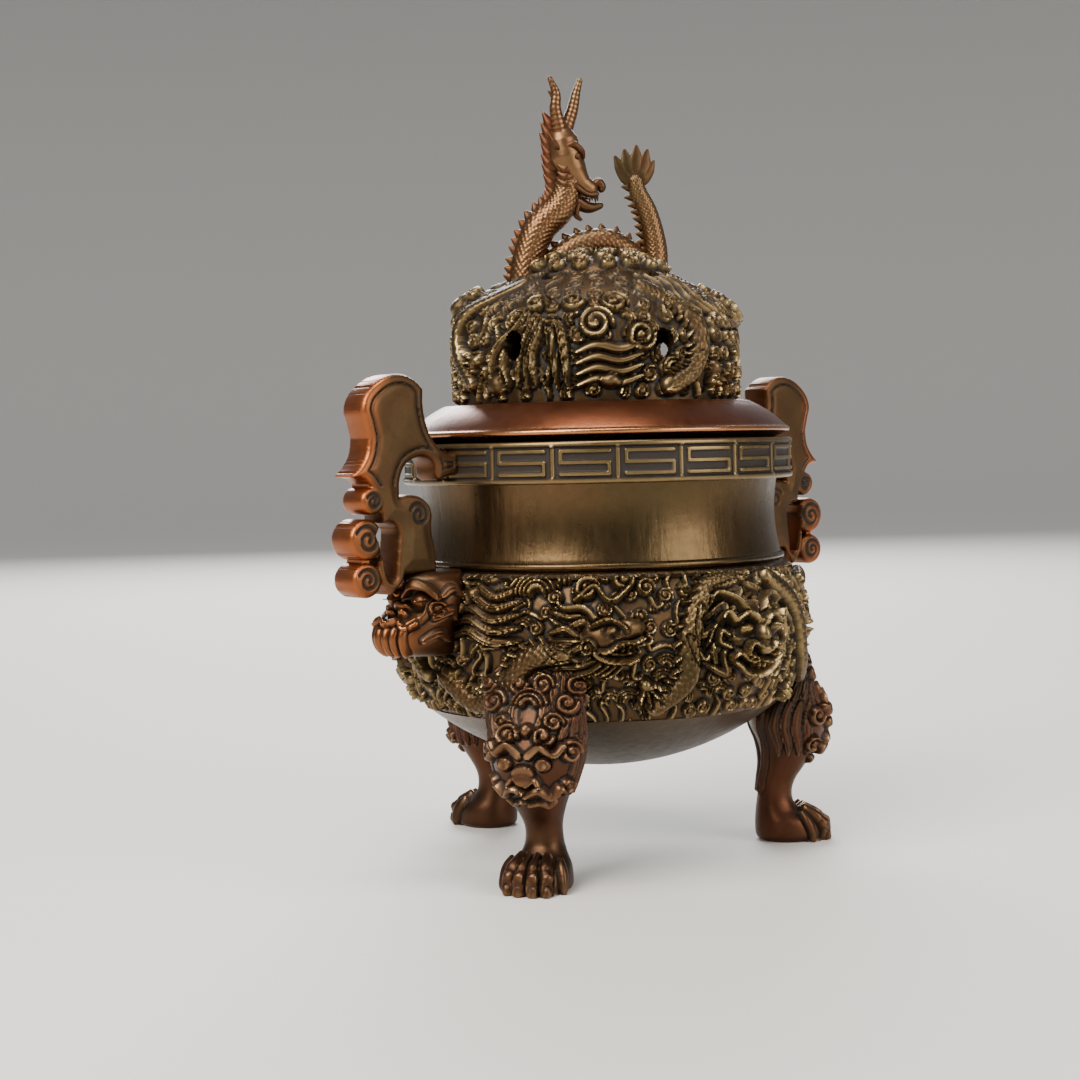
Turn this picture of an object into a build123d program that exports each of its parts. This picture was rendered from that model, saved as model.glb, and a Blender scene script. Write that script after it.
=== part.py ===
"""Tripod incense burner of cast bronze with a pierced dragon lid, in millimetres.

The round bowl stands on three cabriole legs with lion paws. Two upright scroll handles stand on beast
masks at its sides, on the X axis, and reach back to its rim band. The lid is a turned brim that carries
a pierced dome, and a dragon climbs out of the dome as its knob. Legs, masks, handles, brim, dome and
dragon are cast apart, then riveted, pinned or soldered together.
The origin is on the table under the bowl's axis, +Z is up, and the front of the bowl faces -Y.
"""

import os
from math import sqrt

from build123d import *

os.makedirs("parts", exist_ok=True)

# Overall sizes, and the proportions that go with them. The burner is drawn at 30.3 mm to the side of its
# belly and 61.5 mm to its rim; widen and stretch fit everything that is drawn to other sizes.
bowl_radius = 30.3
rim_z = 61.5
widen = bowl_radius / 30.3
stretch = rim_z / 61.5


def across(*radii):
    """Radii as drawn, fitted to this bowl's width."""
    return [radius * widen for radius in radii]


def up(*heights):
    """Heights as drawn, fitted to this bowl's height."""
    return [height * stretch for height in heights]


# Fits
rivet_clearance = 0.03
lid_clearance = 0.35
spot_face = 0.2

# Bowl, from the base up
wall = 2.2
base_edge_radius, shoulder_radius, neck_radius, rim_radius = across(26.6, 28.4, 26.2, 29.0)
bowl_bottom_z, base_edge_z, belly_z, shoulder_z, bead_z = up(13.2, 22.8, 33.0, 42.6, 44.2)
ledge = 0.5
bead_radius = 0.55
neck_flare = 0.8
rim_height = 5.9 * stretch
rim_chamfer = 0.5
rim_lip = 0.8
rim_recess = 0.3
boss_reach = 34.0 * widen
boss_radius = 7.0
boss_z = 34.0 * stretch

# Legs: height, inner radius, outer radius and width of each cross section, from the sole to the hip
leg_sections = [
    (0.0, 24.3, 33.6, 8.0),
    (1.4, 23.7, 34.2, 8.8),
    (3.4, 23.5, 32.6, 8.2),
    (5.4, 23.6, 29.4, 5.8),
    (8.5, 24.0, 29.4, 5.4),
    (12.0, 24.6, 32.4, 8.6),
    (16.0, 24.0, 34.4, 11.6),
    (20.0, 22.8, 34.0, 12.4),
    (24.0, 22.0, 31.6, 11.4),
    (27.4, 21.0, 29.2, 9.0),
]
leg_angles = {"back": 90, "front_left": 210, "front_right": 330}
toe_count = 4
toe_radius = 1.4
toe_reach = 34.8 * widen
toe_spread = 6.6
toe_curve = 4.0

# Handles: a scroll plate that lies in the plane of the bowl's axis
handle_angles = {"right": 0, "left": 180}
handle_thickness = 5.8
handle_bottom_z = 43.6 * stretch
handle_tongue = 2.6
handle_tongue_depth = 3.4
handle_tongue_radius = 34.6 * widen
scroll_groove = 0.45
scroll_groove_depth = 0.5

# Beast masks under the handles
mask_width = 11.0
mask_reach = 40.5 * widen
mask_bottom_z, mask_rivet_z, mask_eye_z = up(32.2, 36.6, 39.8)
mask_eye_radius = 1.2
mask_eye_spread = 5.8
mask_round = 1.2

# Lid
brim_radius = 28.7 * widen
brim_edge = 0.5
brim_gap = 0.9
brim_contact_width = 2.4
spigot_length = 2.6
spigot_wall = 1.6
dome_radius = 21.4 * widen
dome_wall = 1.6
collar_radius = dome_radius + 1.5
collar_height = 5.5 * stretch
rebate_depth = 1.0
dome_spring_z, dome_crown_z = up(74.0, 88.5)
lower_smoke_holes = 6
lower_smoke_start = 16
lower_smoke_z = 75.0 * stretch
upper_smoke_holes = 5
upper_smoke_start = 54
upper_smoke_radius = 0.58 * dome_radius
smoke_hole_width = 2.4
smoke_hole_height = 3.8
dome_boss_radius = 5.6
dome_boss_reach = 0.74 * dome_radius
dome_boss_z = 80.0 * stretch
dome_boss_angles = [-30, 150]

# Dragon knob, which stands in a plane turned away from the handles' plane
dragon_turn = -30
dragon_top_z = 115.8 * stretch
neck_thickness = 4.4
back_thickness = 3.4
tail_thickness = 2.8
head_length = 13.6 * stretch
head_thickness = 5.6
horn_length = 7.0 * stretch
horn_spread = 1.1
pad_radius = 0.51 * dome_radius
pad_rise = 1.6
pad_edge = 0.5
fan_thickness = 1.6

# Rivets
rivet_radius = 1.1
rivet_head_radius = 2.0
rivet_head_height = 0.9
leg_rivet_grip = 5.0
mask_rivet_grip = 6.0
rim_pin_grip = 2.6
dragon_rivet_grip = 2.2

# Worked out from the sizes above
rim_bottom_z = rim_z - rim_height
mouth_radius = neck_radius - wall
base_sphere_radius = (base_edge_radius**2 + (base_edge_z - bowl_bottom_z) ** 2) / (
    2 * (base_edge_z - bowl_bottom_z)
)
base_sphere_z = bowl_bottom_z + base_sphere_radius
spigot_radius = mouth_radius - lid_clearance
spigot_bore = spigot_radius - spigot_wall
collar_z = rim_z + collar_height
dome_foot_z = collar_z - rebate_depth
dome_rise = dome_crown_z - dome_spring_z
bronze = Color(0.42, 0.31, 0.2)
copper = Color(0.6, 0.33, 0.2)


# Turned shapes are drawn at this angle about Z, so that their seam lies clear of every hole.
seam_angle = 105
seam_out = Vector(1, 0, 0).rotate(Axis.Z, seam_angle)
turning_plane = Plane(origin=(0, 0, 0), x_dir=seam_out, z_dir=seam_out.rotate(Axis.Z, -90))


def base_z(radius, sphere_radius):
    """Height of a sphere about the centre of the bowl's base, below that centre, at a radius."""
    return base_sphere_z - sqrt(sphere_radius**2 - radius**2)


def outward_plane(radius, z, angle):
    """Plane that faces straight out from the bowl's axis at a radius, a height and an angle."""
    origin = Vector(radius, 0, z).rotate(Axis.Z, angle)
    return Plane(
        origin=origin,
        x_dir=Vector(0, 1, 0).rotate(Axis.Z, angle),
        z_dir=Vector(1, 0, 0).rotate(Axis.Z, angle),
    )


def drawn(x, z):
    """A point of an outline as drawn, fitted to this bowl's width and height."""
    return (x * widen, z * stretch)


def write(piece, name, shade=bronze):
    """Labels a finished piece and writes it to its own STEP file."""
    piece.part.label = name
    piece.part.color = shade
    export_step(piece.part, f"parts/{name}.step")


# ---------------------------------------------------------------- rivets
def rivet(grip):
    """A round-headed rivet along +Z, with the seat of its head on the XY plane."""
    with BuildPart() as blank:
        Cylinder(rivet_radius, grip, align=(Align.CENTER, Align.CENTER, Align.MIN))
        Cylinder(rivet_head_radius, rivet_head_height, align=(Align.CENTER, Align.CENTER, Align.MAX))
        fillet(blank.edges().group_by(Axis.Z)[0], rivet_head_height * 0.7)
    return blank.part


def rivet_bore(grip):
    """The hole a rivet needs: its shank, and a flat spot on the wall under its head."""
    with BuildPart() as bore:
        Cylinder(rivet_radius + rivet_clearance, grip, align=(Align.CENTER, Align.CENTER, Align.MIN))
        Cylinder(rivet_head_radius + rivet_clearance, wall, align=(Align.CENTER, Align.CENTER, Align.MAX))
    return bore.part


# The legs' rivets stand square on the round floor of the bowl, and the masks' rivets on its side.
leg_rivet = rivet(leg_rivet_grip)
leg_rivet_bore = rivet_bore(leg_rivet_grip)
leg_rivet_radius = base_edge_radius - wall
leg_rivet_drop = sqrt(base_sphere_radius**2 - leg_rivet_radius**2)
leg_rivet_out = Vector(leg_rivet_radius, 0, -leg_rivet_drop).normalized()
leg_rivet_seat = Vector(0, 0, base_sphere_z) + leg_rivet_out * (base_sphere_radius - wall + spot_face)
leg_rivet_place = Plane(leg_rivet_seat, x_dir=(0, 1, 0), z_dir=leg_rivet_out).location

mask_rivet = rivet(mask_rivet_grip)
mask_rivet_bore = rivet_bore(mask_rivet_grip)
mask_rivet_seat = bowl_radius - wall + spot_face
mask_rivet_place = outward_plane(mask_rivet_seat, mask_rivet_z, 0).location

rim_pin_z = rim_z - rim_height / 2
rim_pin_length = rim_radius - mouth_radius + rim_pin_grip
rim_pin_place = outward_plane(mouth_radius + rim_pin_length / 2, rim_pin_z, 0).location

dragon_rivet = rivet(dome_wall + dragon_rivet_grip)
dragon_rivet_bore = rivet_bore(dome_wall + dragon_rivet_grip)
dragon_rivet_place = Location((0, 0, dome_crown_z - dome_wall + spot_face))

# ---------------------------------------------------------------- bowl
with BuildPart() as bowl_envelope:
    with BuildSketch(turning_plane):
        with BuildLine():
            base_mid = base_edge_radius / 2
            ThreePointArc(
                (0, bowl_bottom_z),
                (base_mid, base_z(base_mid, base_sphere_radius)),
                (base_edge_radius, base_edge_z),
            )
            Polyline(
                (base_edge_radius, base_edge_z),
                (base_edge_radius + ledge, base_edge_z),
                (base_edge_radius + ledge, base_edge_z + ledge),
            )
            ThreePointArc(
                (base_edge_radius + ledge, base_edge_z + ledge),
                (bowl_radius, belly_z),
                (shoulder_radius, shoulder_z),
            )
            Line((shoulder_radius, shoulder_z), (neck_radius + neck_flare, bead_z - bead_radius))
            ThreePointArc(
                (neck_radius + neck_flare, bead_z - bead_radius),
                (neck_radius + neck_flare + bead_radius, bead_z),
                (neck_radius + neck_flare, bead_z + bead_radius),
            )
            ThreePointArc(
                (neck_radius + neck_flare, bead_z + bead_radius),
                (neck_radius, (bead_z + rim_bottom_z) / 2),
                (neck_radius + neck_flare / 2, rim_bottom_z),
            )
            Polyline(
                (neck_radius + neck_flare / 2, rim_bottom_z),
                (rim_radius - rim_chamfer, rim_bottom_z),
                (rim_radius, rim_bottom_z + rim_chamfer),
                (rim_radius, rim_bottom_z + rim_lip),
                (rim_radius - rim_recess, rim_bottom_z + rim_lip),
                (rim_radius - rim_recess, rim_z - rim_lip),
                (rim_radius, rim_z - rim_lip),
                (rim_radius, rim_z - rim_chamfer),
                (rim_radius - rim_chamfer, rim_z),
                (0, rim_z),
                (0, bowl_bottom_z),
            )
        make_face()
    revolve(axis=Axis.Z)

with BuildPart() as bowl_cavity:
    with BuildSketch(turning_plane):
        with BuildLine():
            floor_edge = base_edge_radius - wall
            floor_edge_z = base_z(floor_edge, base_sphere_radius - wall)
            ThreePointArc(
                (0, bowl_bottom_z + wall),
                (floor_edge / 2, base_z(floor_edge / 2, base_sphere_radius - wall)),
                (floor_edge, floor_edge_z),
            )
            ThreePointArc(
                (floor_edge, floor_edge_z),
                (bowl_radius - wall, belly_z),
                (shoulder_radius - wall, shoulder_z),
            )
            Polyline(
                (shoulder_radius - wall, shoulder_z),
                (mouth_radius, bead_z + wall),
                (mouth_radius, rim_z),
                (0, rim_z),
                (0, bowl_bottom_z + wall),
            )
        make_face()
    revolve(axis=Axis.Z)

# The front of the belly carries a dragon's head in high relief.
with BuildPart() as bowl:
    add(bowl_envelope.part)
    with Locations((0, boss_radius - boss_reach, boss_z)):
        Sphere(boss_radius)
    add(bowl_cavity.part, mode=Mode.SUBTRACT)
    for angle in leg_angles.values():
        with Locations(Rot(Z=angle) * leg_rivet_place):
            add(leg_rivet_bore, mode=Mode.SUBTRACT)
    # One drill along X makes both masks' rivet holes, and a wider one the flats under both heads.
    with Locations(Location((0, 0, mask_rivet_z), (0, 90, 0))):
        Cylinder(rivet_radius + rivet_clearance, 2 * (bowl_radius + mask_rivet_grip), mode=Mode.SUBTRACT)
        Cylinder(rivet_head_radius + rivet_clearance, 2 * mask_rivet_seat, mode=Mode.SUBTRACT)
    with Locations(Location((0, 0, rim_pin_z), (0, 90, 0))):
        Cylinder(rivet_radius + rivet_clearance, 2 * rim_radius + 1, mode=Mode.SUBTRACT)
write(bowl, "bowl")

# ---------------------------------------------------------------- legs
# One leg is drawn out along +X: a loft from the paw through the ankle and the knee to the hip.
with BuildPart() as leg_form:
    for section_z, inner_radius, outer_radius, width in leg_sections:
        with BuildSketch(Plane.XY.offset(section_z * stretch)):
            with Locations(((inner_radius + outer_radius) / 2 * widen, 0)):
                Ellipse((outer_radius - inner_radius) / 2 * widen, width / 2)
    loft()
    for toe in range(toe_count):
        sideways = toe / (toe_count - 1) - 0.5
        toe_x = toe_reach - toe_radius - toe_curve * sideways**2
        with Locations((toe_x, toe_spread * sideways, toe_radius)):
            Sphere(toe_radius)
    add(bowl_envelope.part, mode=Mode.SUBTRACT)
    with Locations(leg_rivet_place):
        add(leg_rivet_bore, mode=Mode.SUBTRACT)

for name, angle in leg_angles.items():
    with BuildPart() as leg:
        add(leg_form.part.rotate(Axis.Z, angle))
    write(leg, f"leg_{name}")

with BuildPart() as leg_rivets:
    for angle in leg_angles.values():
        with Locations(Rot(Z=angle) * leg_rivet_place):
            add(leg_rivet)
write(leg_rivets, "leg_rivets")

# ---------------------------------------------------------------- beast masks
# One mask is drawn on the +X side: brow, eyes, muzzle and chin, on a block that hugs the belly.
with BuildPart() as mask_form:
    with BuildSketch(Plane.XZ):
        Polygon(
            (bowl_radius - wall, handle_bottom_z),
            (mask_reach - 3.2, handle_bottom_z),
            (mask_reach - 3.8, mask_eye_z - 1.0),
            (mask_reach, mask_eye_z - 3.6),
            (mask_reach - 0.6, mask_bottom_z + 1.2),
            (mask_reach - 3.2, mask_bottom_z),
            (bowl_radius - wall, mask_bottom_z + 1.6),
            align=None,
        )
    extrude(amount=mask_width / 2, both=True)
    fillet(mask_form.edges().filter_by(Axis.Y, reverse=True).group_by(Axis.X)[-1], mask_round)
    for side in (-1, 1):
        with Locations((mask_reach - 4.0, side * mask_eye_spread / 2, mask_eye_z)):
            Sphere(mask_eye_radius)
    add(bowl_envelope.part, mode=Mode.SUBTRACT)
    with Locations(mask_rivet_place):
        add(mask_rivet_bore, mode=Mode.SUBTRACT)
    with Locations((handle_tongue_radius, 0, handle_bottom_z)):
        Box(
            handle_tongue + 2 * rivet_clearance,
            handle_tongue + 2 * rivet_clearance,
            handle_tongue_depth + rivet_clearance,
            align=(Align.CENTER, Align.CENTER, Align.MAX),
            mode=Mode.SUBTRACT,
        )

for name, angle in handle_angles.items():
    with BuildPart() as mask:
        add(mask_form.part.rotate(Axis.Z, angle))
    write(mask, f"mask_{name}")

with BuildPart() as mask_rivets:
    for angle in handle_angles.values():
        with Locations(Rot(Z=angle) * mask_rivet_place):
            add(mask_rivet)
write(mask_rivets, "mask_rivets")

# ---------------------------------------------------------------- handles
# Each scroll is a centre (radius from the bowl's axis, height) and a radius of its own.
small_scroll = (*drawn(42.8, 53.9), 1.9)
outer_scroll = (*drawn(43.9, 48.7), 2.8)
foot_scroll = (*drawn(44.0, 43.2), 2.4)
hook_scroll = (*drawn(35.3, 51.8), 2.4)
hole_centre = drawn(40.3, 49.2)
hole_slot_centre = drawn(40.1, 46.6)
arm_root = rim_radius - 1

with BuildPart() as handle_form:
    with BuildSketch(Plane.XZ):
        with BuildLine():
            Line((arm_root, rim_pin_z + 2.1), drawn(31.2, 60.8))
            ThreePointArc(drawn(31.2, 60.8), drawn(33.2, 63.9), drawn(33.9, 66.4))
            Line(drawn(33.9, 66.4), drawn(34.0, 68.6))
            ThreePointArc(drawn(34.0, 68.6), drawn(38.2, 71.2), drawn(43.2, 68.6))
            ThreePointArc(drawn(43.2, 68.6), drawn(44.3, 66.4), drawn(43.3, 63.2))
            ThreePointArc(drawn(43.3, 63.2), drawn(43.7, 60.1), drawn(46.2, 57.3))
            Polyline(
                drawn(46.2, 57.3),
                drawn(43.0, 55.8),
                drawn(41.6, 51.0),
                drawn(43.4, 46.0),
                drawn(41.6, 42.2),
                (38.0 * widen, handle_bottom_z),
                (32.2 * widen, handle_bottom_z),
            )
            ThreePointArc((32.2 * widen, handle_bottom_z), drawn(32.6, 47.0), drawn(33.2, 50.6))
            Polyline(drawn(33.2, 50.6), drawn(35.0, 54.1), drawn(38.2, 54.7))
            ThreePointArc(drawn(38.2, 54.7), drawn(37.4, 58.2), drawn(34.4, 59.8))
            ThreePointArc(drawn(34.4, 59.8), drawn(32.6, 58.8), drawn(31.8, 56.9))
            Polyline(drawn(31.8, 56.9), (arm_root, 57.0 * stretch), (arm_root, rim_pin_z + 2.1))
        make_face()
        for scroll_x, scroll_z, scroll_radius in (small_scroll, outer_scroll, foot_scroll, hook_scroll):
            with Locations((scroll_x, scroll_z)):
                Circle(scroll_radius)
        with Locations(hole_centre):
            Circle(1.8, mode=Mode.SUBTRACT)
        with Locations(hole_slot_centre):
            SlotOverall(7.0 * stretch, 2.0, rotation=88, mode=Mode.SUBTRACT)
    extrude(amount=handle_thickness / 2, both=True)
    for side in (-1, 1):
        with BuildSketch(Plane.XZ.offset(side * handle_thickness / 2)):
            for scroll_x, scroll_z, scroll_radius in (small_scroll, outer_scroll, hook_scroll):
                with Locations((scroll_x, scroll_z)):
                    Circle(scroll_radius * 0.72)
                    Circle(scroll_radius * 0.72 - scroll_groove, mode=Mode.SUBTRACT)
        extrude(amount=-side * scroll_groove_depth, mode=Mode.SUBTRACT)
    with Locations((handle_tongue_radius, 0, handle_bottom_z)):
        Box(
            handle_tongue,
            handle_tongue,
            handle_tongue_depth,
            align=(Align.CENTER, Align.CENTER, Align.MAX),
        )
    add(bowl_envelope.part, mode=Mode.SUBTRACT)
    with Locations(rim_pin_place):
        Cylinder(rivet_radius + rivet_clearance, rim_pin_length, mode=Mode.SUBTRACT)

for name, angle in handle_angles.items():
    with BuildPart() as handle:
        add(handle_form.part.rotate(Axis.Z, angle))
    write(handle, f"handle_{name}")

with BuildPart() as rim_pins:
    for angle in handle_angles.values():
        with Locations(Rot(Z=angle) * rim_pin_place):
            Cylinder(rivet_radius, rim_pin_length)
write(rim_pins, "rim_pins")

# ---------------------------------------------------------------- lid brim
with BuildPart() as lid_brim:
    with BuildSketch(turning_plane):
        with BuildLine():
            Polyline(
                (collar_radius - rebate_depth, collar_z),
                (dome_radius + rivet_clearance, collar_z),
                (dome_radius + rivet_clearance, dome_foot_z),
                (dome_radius - dome_wall, dome_foot_z),
                (spigot_bore, rim_z),
                (spigot_bore, rim_z - spigot_length),
                (spigot_radius, rim_z - spigot_length),
                (spigot_radius, rim_z),
                (mouth_radius + brim_contact_width, rim_z),
                (brim_radius, rim_z + brim_gap),
                (brim_radius, rim_z + brim_gap + brim_edge),
            )
            ThreePointArc(
                (brim_radius, rim_z + brim_gap + brim_edge),
                ((brim_radius + collar_radius) / 2, rim_z + collar_height * 0.6),
                (collar_radius, collar_z),
            )
            Line((collar_radius, collar_z), (collar_radius - rebate_depth, collar_z))
        make_face()
    revolve(axis=Axis.Z)
write(lid_brim, "lid_brim", copper)

# ---------------------------------------------------------------- lid dome
with BuildPart() as dome_inside:
    with BuildSketch(turning_plane):
        with BuildLine():
            Polyline(
                (0, dome_crown_z - dome_wall),
                (0, dome_foot_z),
                (dome_radius - dome_wall, dome_foot_z),
                (dome_radius - dome_wall, dome_spring_z),
            )
            EllipticalCenterArc(
                (0, dome_spring_z),
                dome_radius - dome_wall,
                dome_rise - dome_wall,
                start_angle=0,
                arc_size=90,
            )
        make_face()
    revolve(axis=Axis.Z)

with BuildPart() as dome_outside:
    with BuildSketch(turning_plane):
        with BuildLine():
            Polyline(
                (0, dome_crown_z),
                (0, dome_foot_z),
                (dome_radius, dome_foot_z),
                (dome_radius, dome_spring_z),
            )
            EllipticalCenterArc(
                (0, dome_spring_z), dome_radius, dome_rise, start_angle=0, arc_size=90
            )
        make_face()
    revolve(axis=Axis.Z)

# A clenched paw and a maned head stand up from the shoulders of the dome.
with BuildPart() as lid_dome:
    add(dome_outside.part)
    for angle in dome_boss_angles:
        with Locations(Rot(Z=angle) * Location((dome_boss_reach, 0, dome_boss_z))):
            Sphere(dome_boss_radius)
    add(dome_inside.part, mode=Mode.SUBTRACT)
    for hole in range(lower_smoke_holes):
        angle = lower_smoke_start + 360 / lower_smoke_holes * hole
        with BuildSketch(outward_plane(dome_radius - 2 * dome_wall, lower_smoke_z, angle)):
            SlotOverall(smoke_hole_height, smoke_hole_width, rotation=90)
        extrude(amount=4 * dome_wall, mode=Mode.SUBTRACT)
    for hole in range(upper_smoke_holes):
        angle = upper_smoke_start + 360 / upper_smoke_holes * hole
        with BuildSketch(Plane.XY.offset(dome_spring_z)):
            with Locations(Rot(Z=angle) * Location((upper_smoke_radius, 0, 0))):
                SlotOverall(smoke_hole_height, smoke_hole_width, rotation=90)
        extrude(amount=2 * dome_rise, mode=Mode.SUBTRACT)
    with Locations(dragon_rivet_place):
        add(dragon_rivet_bore, mode=Mode.SUBTRACT)
write(lid_dome, "lid_dome")

# ---------------------------------------------------------------- dragon
# The dragon is drawn in the XZ plane and then turned. Its neck loops up to the head, its back arches over
# the crown of the dome, and its tail stands up behind and ends in a fan.
neck_points = [drawn(-10.2, 82.5), drawn(-10.0, 88.5), drawn(-8.0, 93.4), drawn(-4.6, 96.4), drawn(-3.6, 100)]
back_points = [drawn(-7.6, 85.0), drawn(-2.5, 90.4), drawn(2.6, 91.0), drawn(8.6, 85.0)]
tail_points = [drawn(8.4, 83.0), drawn(9.4, 90.0), drawn(8.4, 95.4), drawn(6.6, 100.6)]
fan_points = [
    drawn(5.6, 99.6),
    drawn(3.6, 103.2),
    drawn(5.0, 103.2),
    drawn(6.6, 105.4),
    drawn(7.6, 103.8),
    drawn(9.4, 103.4),
    drawn(8.2, 100.4),
]
head_x, head_z = drawn(-3.3, 103.0)
snout_x, snout_z = drawn(-0.6, 98.6)
jaw_x, jaw_z = drawn(-1.4, 96.0)
head_tilt = -10
snout_tilt = 150
jaw_tilt = 80
horns = [(-4.4 * widen, horn_spread, -14), (-2.4 * widen, -horn_spread, 8)]  # root, side and lean
horn_root_z = dragon_top_z - horn_length


def egg(length, thickness):
    """An egg-shaped solid of revolution about Z."""
    with BuildPart() as blank:
        with BuildSketch(Plane.XZ):
            with BuildLine():
                EllipticalCenterArc((0, 0), thickness / 2, length / 2, start_angle=-90, arc_size=180)
                Line((0, length / 2), (0, -length / 2))
            make_face()
        revolve(axis=Axis.Z)
    return blank.part


def limb(points, thickness):
    """A round limb of even thickness with round ends, along a smooth line through points in XZ."""
    spots = [(x, 0, z) for x, z in points]
    with BuildPart() as blank:
        with BuildLine() as path:
            Spline(*spots)
        with BuildSketch(Plane(path.line @ 0, z_dir=path.line % 0)):
            Circle(thickness / 2)
        sweep()
        with Locations(spots[0], spots[-1]):
            Sphere(thickness / 2)
    return blank.part


head = egg(head_length, head_thickness)
snout = egg(head_length / 2, head_thickness * 0.6)
jaw = egg(head_length / 2, head_thickness * 0.45)
neck = limb(neck_points, neck_thickness)
back = limb(back_points, back_thickness)
tail = limb(tail_points, tail_thickness)

with BuildPart() as dragon_form:
    with BuildSketch(Plane.XZ):
        with BuildLine():
            pad_edge_z = dome_spring_z + dome_rise * sqrt(1 - (pad_radius / dome_radius) ** 2)
            Polyline(
                (0, dome_crown_z + pad_rise),
                (0, pad_edge_z - pad_edge),
                (pad_radius, pad_edge_z - pad_edge),
                (pad_radius, pad_edge_z + pad_edge),
            )
            ThreePointArc(
                (pad_radius, pad_edge_z + pad_edge),
                (pad_radius / 2, (pad_edge_z + dome_crown_z) / 2 + pad_rise),
                (0, dome_crown_z + pad_rise),
            )
        make_face()
    revolve(axis=Axis.Z)
    add(neck)
    add(back)
    add(tail)
    with BuildSketch(Plane.XZ):
        Polygon(*fan_points, align=None)
    extrude(amount=fan_thickness / 2, both=True)
    with Locations(Location((head_x, 0, head_z), (0, head_tilt, 0))):
        add(head)
    with Locations(Location((snout_x, 0, snout_z), (0, snout_tilt, 0))):
        add(snout)
    with Locations(Location((jaw_x, 0, jaw_z), (0, jaw_tilt, 0))):
        add(jaw)
    for root, side, lean in horns:
        with Locations(Location((root, side, horn_root_z), (0, lean, 0))):
            Cone(
                head_thickness / 5,
                head_thickness / 16,
                horn_length,
                align=(Align.CENTER, Align.CENTER, Align.MIN),
            )
    add(dome_outside.part, mode=Mode.SUBTRACT)
    with Locations(dragon_rivet_place):
        add(dragon_rivet_bore, mode=Mode.SUBTRACT)

with BuildPart() as dragon:
    add(dragon_form.part.rotate(Axis.Z, dragon_turn))
    add(lid_dome.part, mode=Mode.SUBTRACT)
write(dragon, "dragon")

with BuildPart() as dragon_rivet_piece:
    with Locations(dragon_rivet_place):
        add(dragon_rivet)
write(dragon_rivet_piece, "dragon_rivet")
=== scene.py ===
# %% [markdown]
# # A cast bronze incense burner with a pierced dragon lid
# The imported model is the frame: it says where every casting stands and how large it is. This file gives
# each casting its surface. Nearly everything on the burner is raised work on a simple wall, so the lesson
# is mostly about one idea: a wall is a grid of points with a height on each point, and a carver's stroke
# raises that height along a line. Lengths are in millimetres until a mesh is made, and metres after that.

# %% The frame
import math

import bpy
import numpy as np
from mathutils import Matrix, Vector


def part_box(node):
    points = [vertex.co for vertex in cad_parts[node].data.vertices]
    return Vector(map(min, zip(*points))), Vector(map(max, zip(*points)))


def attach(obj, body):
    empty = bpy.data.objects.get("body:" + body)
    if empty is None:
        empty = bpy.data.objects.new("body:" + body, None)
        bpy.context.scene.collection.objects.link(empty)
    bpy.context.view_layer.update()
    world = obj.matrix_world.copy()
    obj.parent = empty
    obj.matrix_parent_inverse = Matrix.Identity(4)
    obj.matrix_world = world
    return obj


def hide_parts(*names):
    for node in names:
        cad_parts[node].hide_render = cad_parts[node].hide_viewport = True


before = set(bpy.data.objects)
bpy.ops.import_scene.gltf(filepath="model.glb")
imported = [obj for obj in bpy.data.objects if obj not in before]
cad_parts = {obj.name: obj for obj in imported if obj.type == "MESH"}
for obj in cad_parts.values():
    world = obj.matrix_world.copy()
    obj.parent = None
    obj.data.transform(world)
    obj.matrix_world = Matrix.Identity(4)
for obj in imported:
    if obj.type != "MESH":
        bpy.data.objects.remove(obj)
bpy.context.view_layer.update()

MM = 0.001


def box_mm(node):
    """The lowest and highest corner of a CAD node, in millimetres."""
    low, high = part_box(node)
    return np.array(low) / MM, np.array(high) / MM


bowl_low, bowl_high = box_mm("bowl")
base_z, rim_z = bowl_low[2], bowl_high[2]
belly_radius = bowl_high[0]
brim_radius = box_mm("lid_brim")[1][0]
spigot_z = box_mm("lid_brim")[0][2]
collar_z = box_mm("lid_brim")[1][2]
dome_radius = box_mm("lid_dome")[1][0]
dome_foot_z, crown_z = box_mm("lid_dome")[0][2], box_mm("lid_dome")[1][2]
handle_half = box_mm("handle_right")[1][1]
print("belly radius", round(belly_radius, 2), "rim", round(rim_z, 2), "crown", round(crown_z, 2))

# %% [markdown]
# ## Lines, grids and meshes
# A smooth line through a few points is a Catmull-Rom curve, which passes through every point it is given,
# so a carver's line can be drawn from the few places where it turns. Meshes are put in as whole arrays.


# %% Curves
def smooth(points, count=40):
    """Evenly spaced points on the Catmull-Rom curve through points: each span is the cubic whose tangents
    are half the difference of the neighbouring points."""
    p = np.asarray(points, float)
    if len(p) < 3:
        return p[0] + (p[-1] - p[0]) * np.linspace(0, 1, count)[:, None]
    ends = np.vstack([2 * p[0] - p[1], p, 2 * p[-1] - p[-2]])
    t = np.linspace(0, len(p) - 1, 12 * len(p))
    i = np.minimum(t.astype(int), len(p) - 2)
    f = (t - i)[:, None]
    a, b, c, d = (ends[i + k] for k in range(4))
    line = 0.5 * (2 * b + (c - a) * f + (2 * a - 5 * b + 4 * c - d) * f**2 + (3 * b - a - 3 * c + d) * f**3)
    return even(line, count)


def even(line, count):
    """The same line with its points spaced evenly along its length."""
    length = np.concatenate([[0], np.cumsum(np.linalg.norm(np.diff(line, axis=0), axis=1))])
    wanted = np.linspace(0, length[-1], count)
    return np.stack([np.interp(wanted, length, column) for column in line.T], axis=-1)


def fade(x, low, high):
    """0 below low, 1 above high, and a smooth step between."""
    t = np.clip((x - low) / (high - low), 0, 1)
    return t * t * (3 - 2 * t)


def round_axis(radius, u, z):
    """Points at a radius, at an angle u in degrees about the burner's axis, and at a height z."""
    a = np.radians(u)
    return np.stack([radius * np.cos(a), radius * np.sin(a), z + 0 * u], axis=-1)


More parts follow.
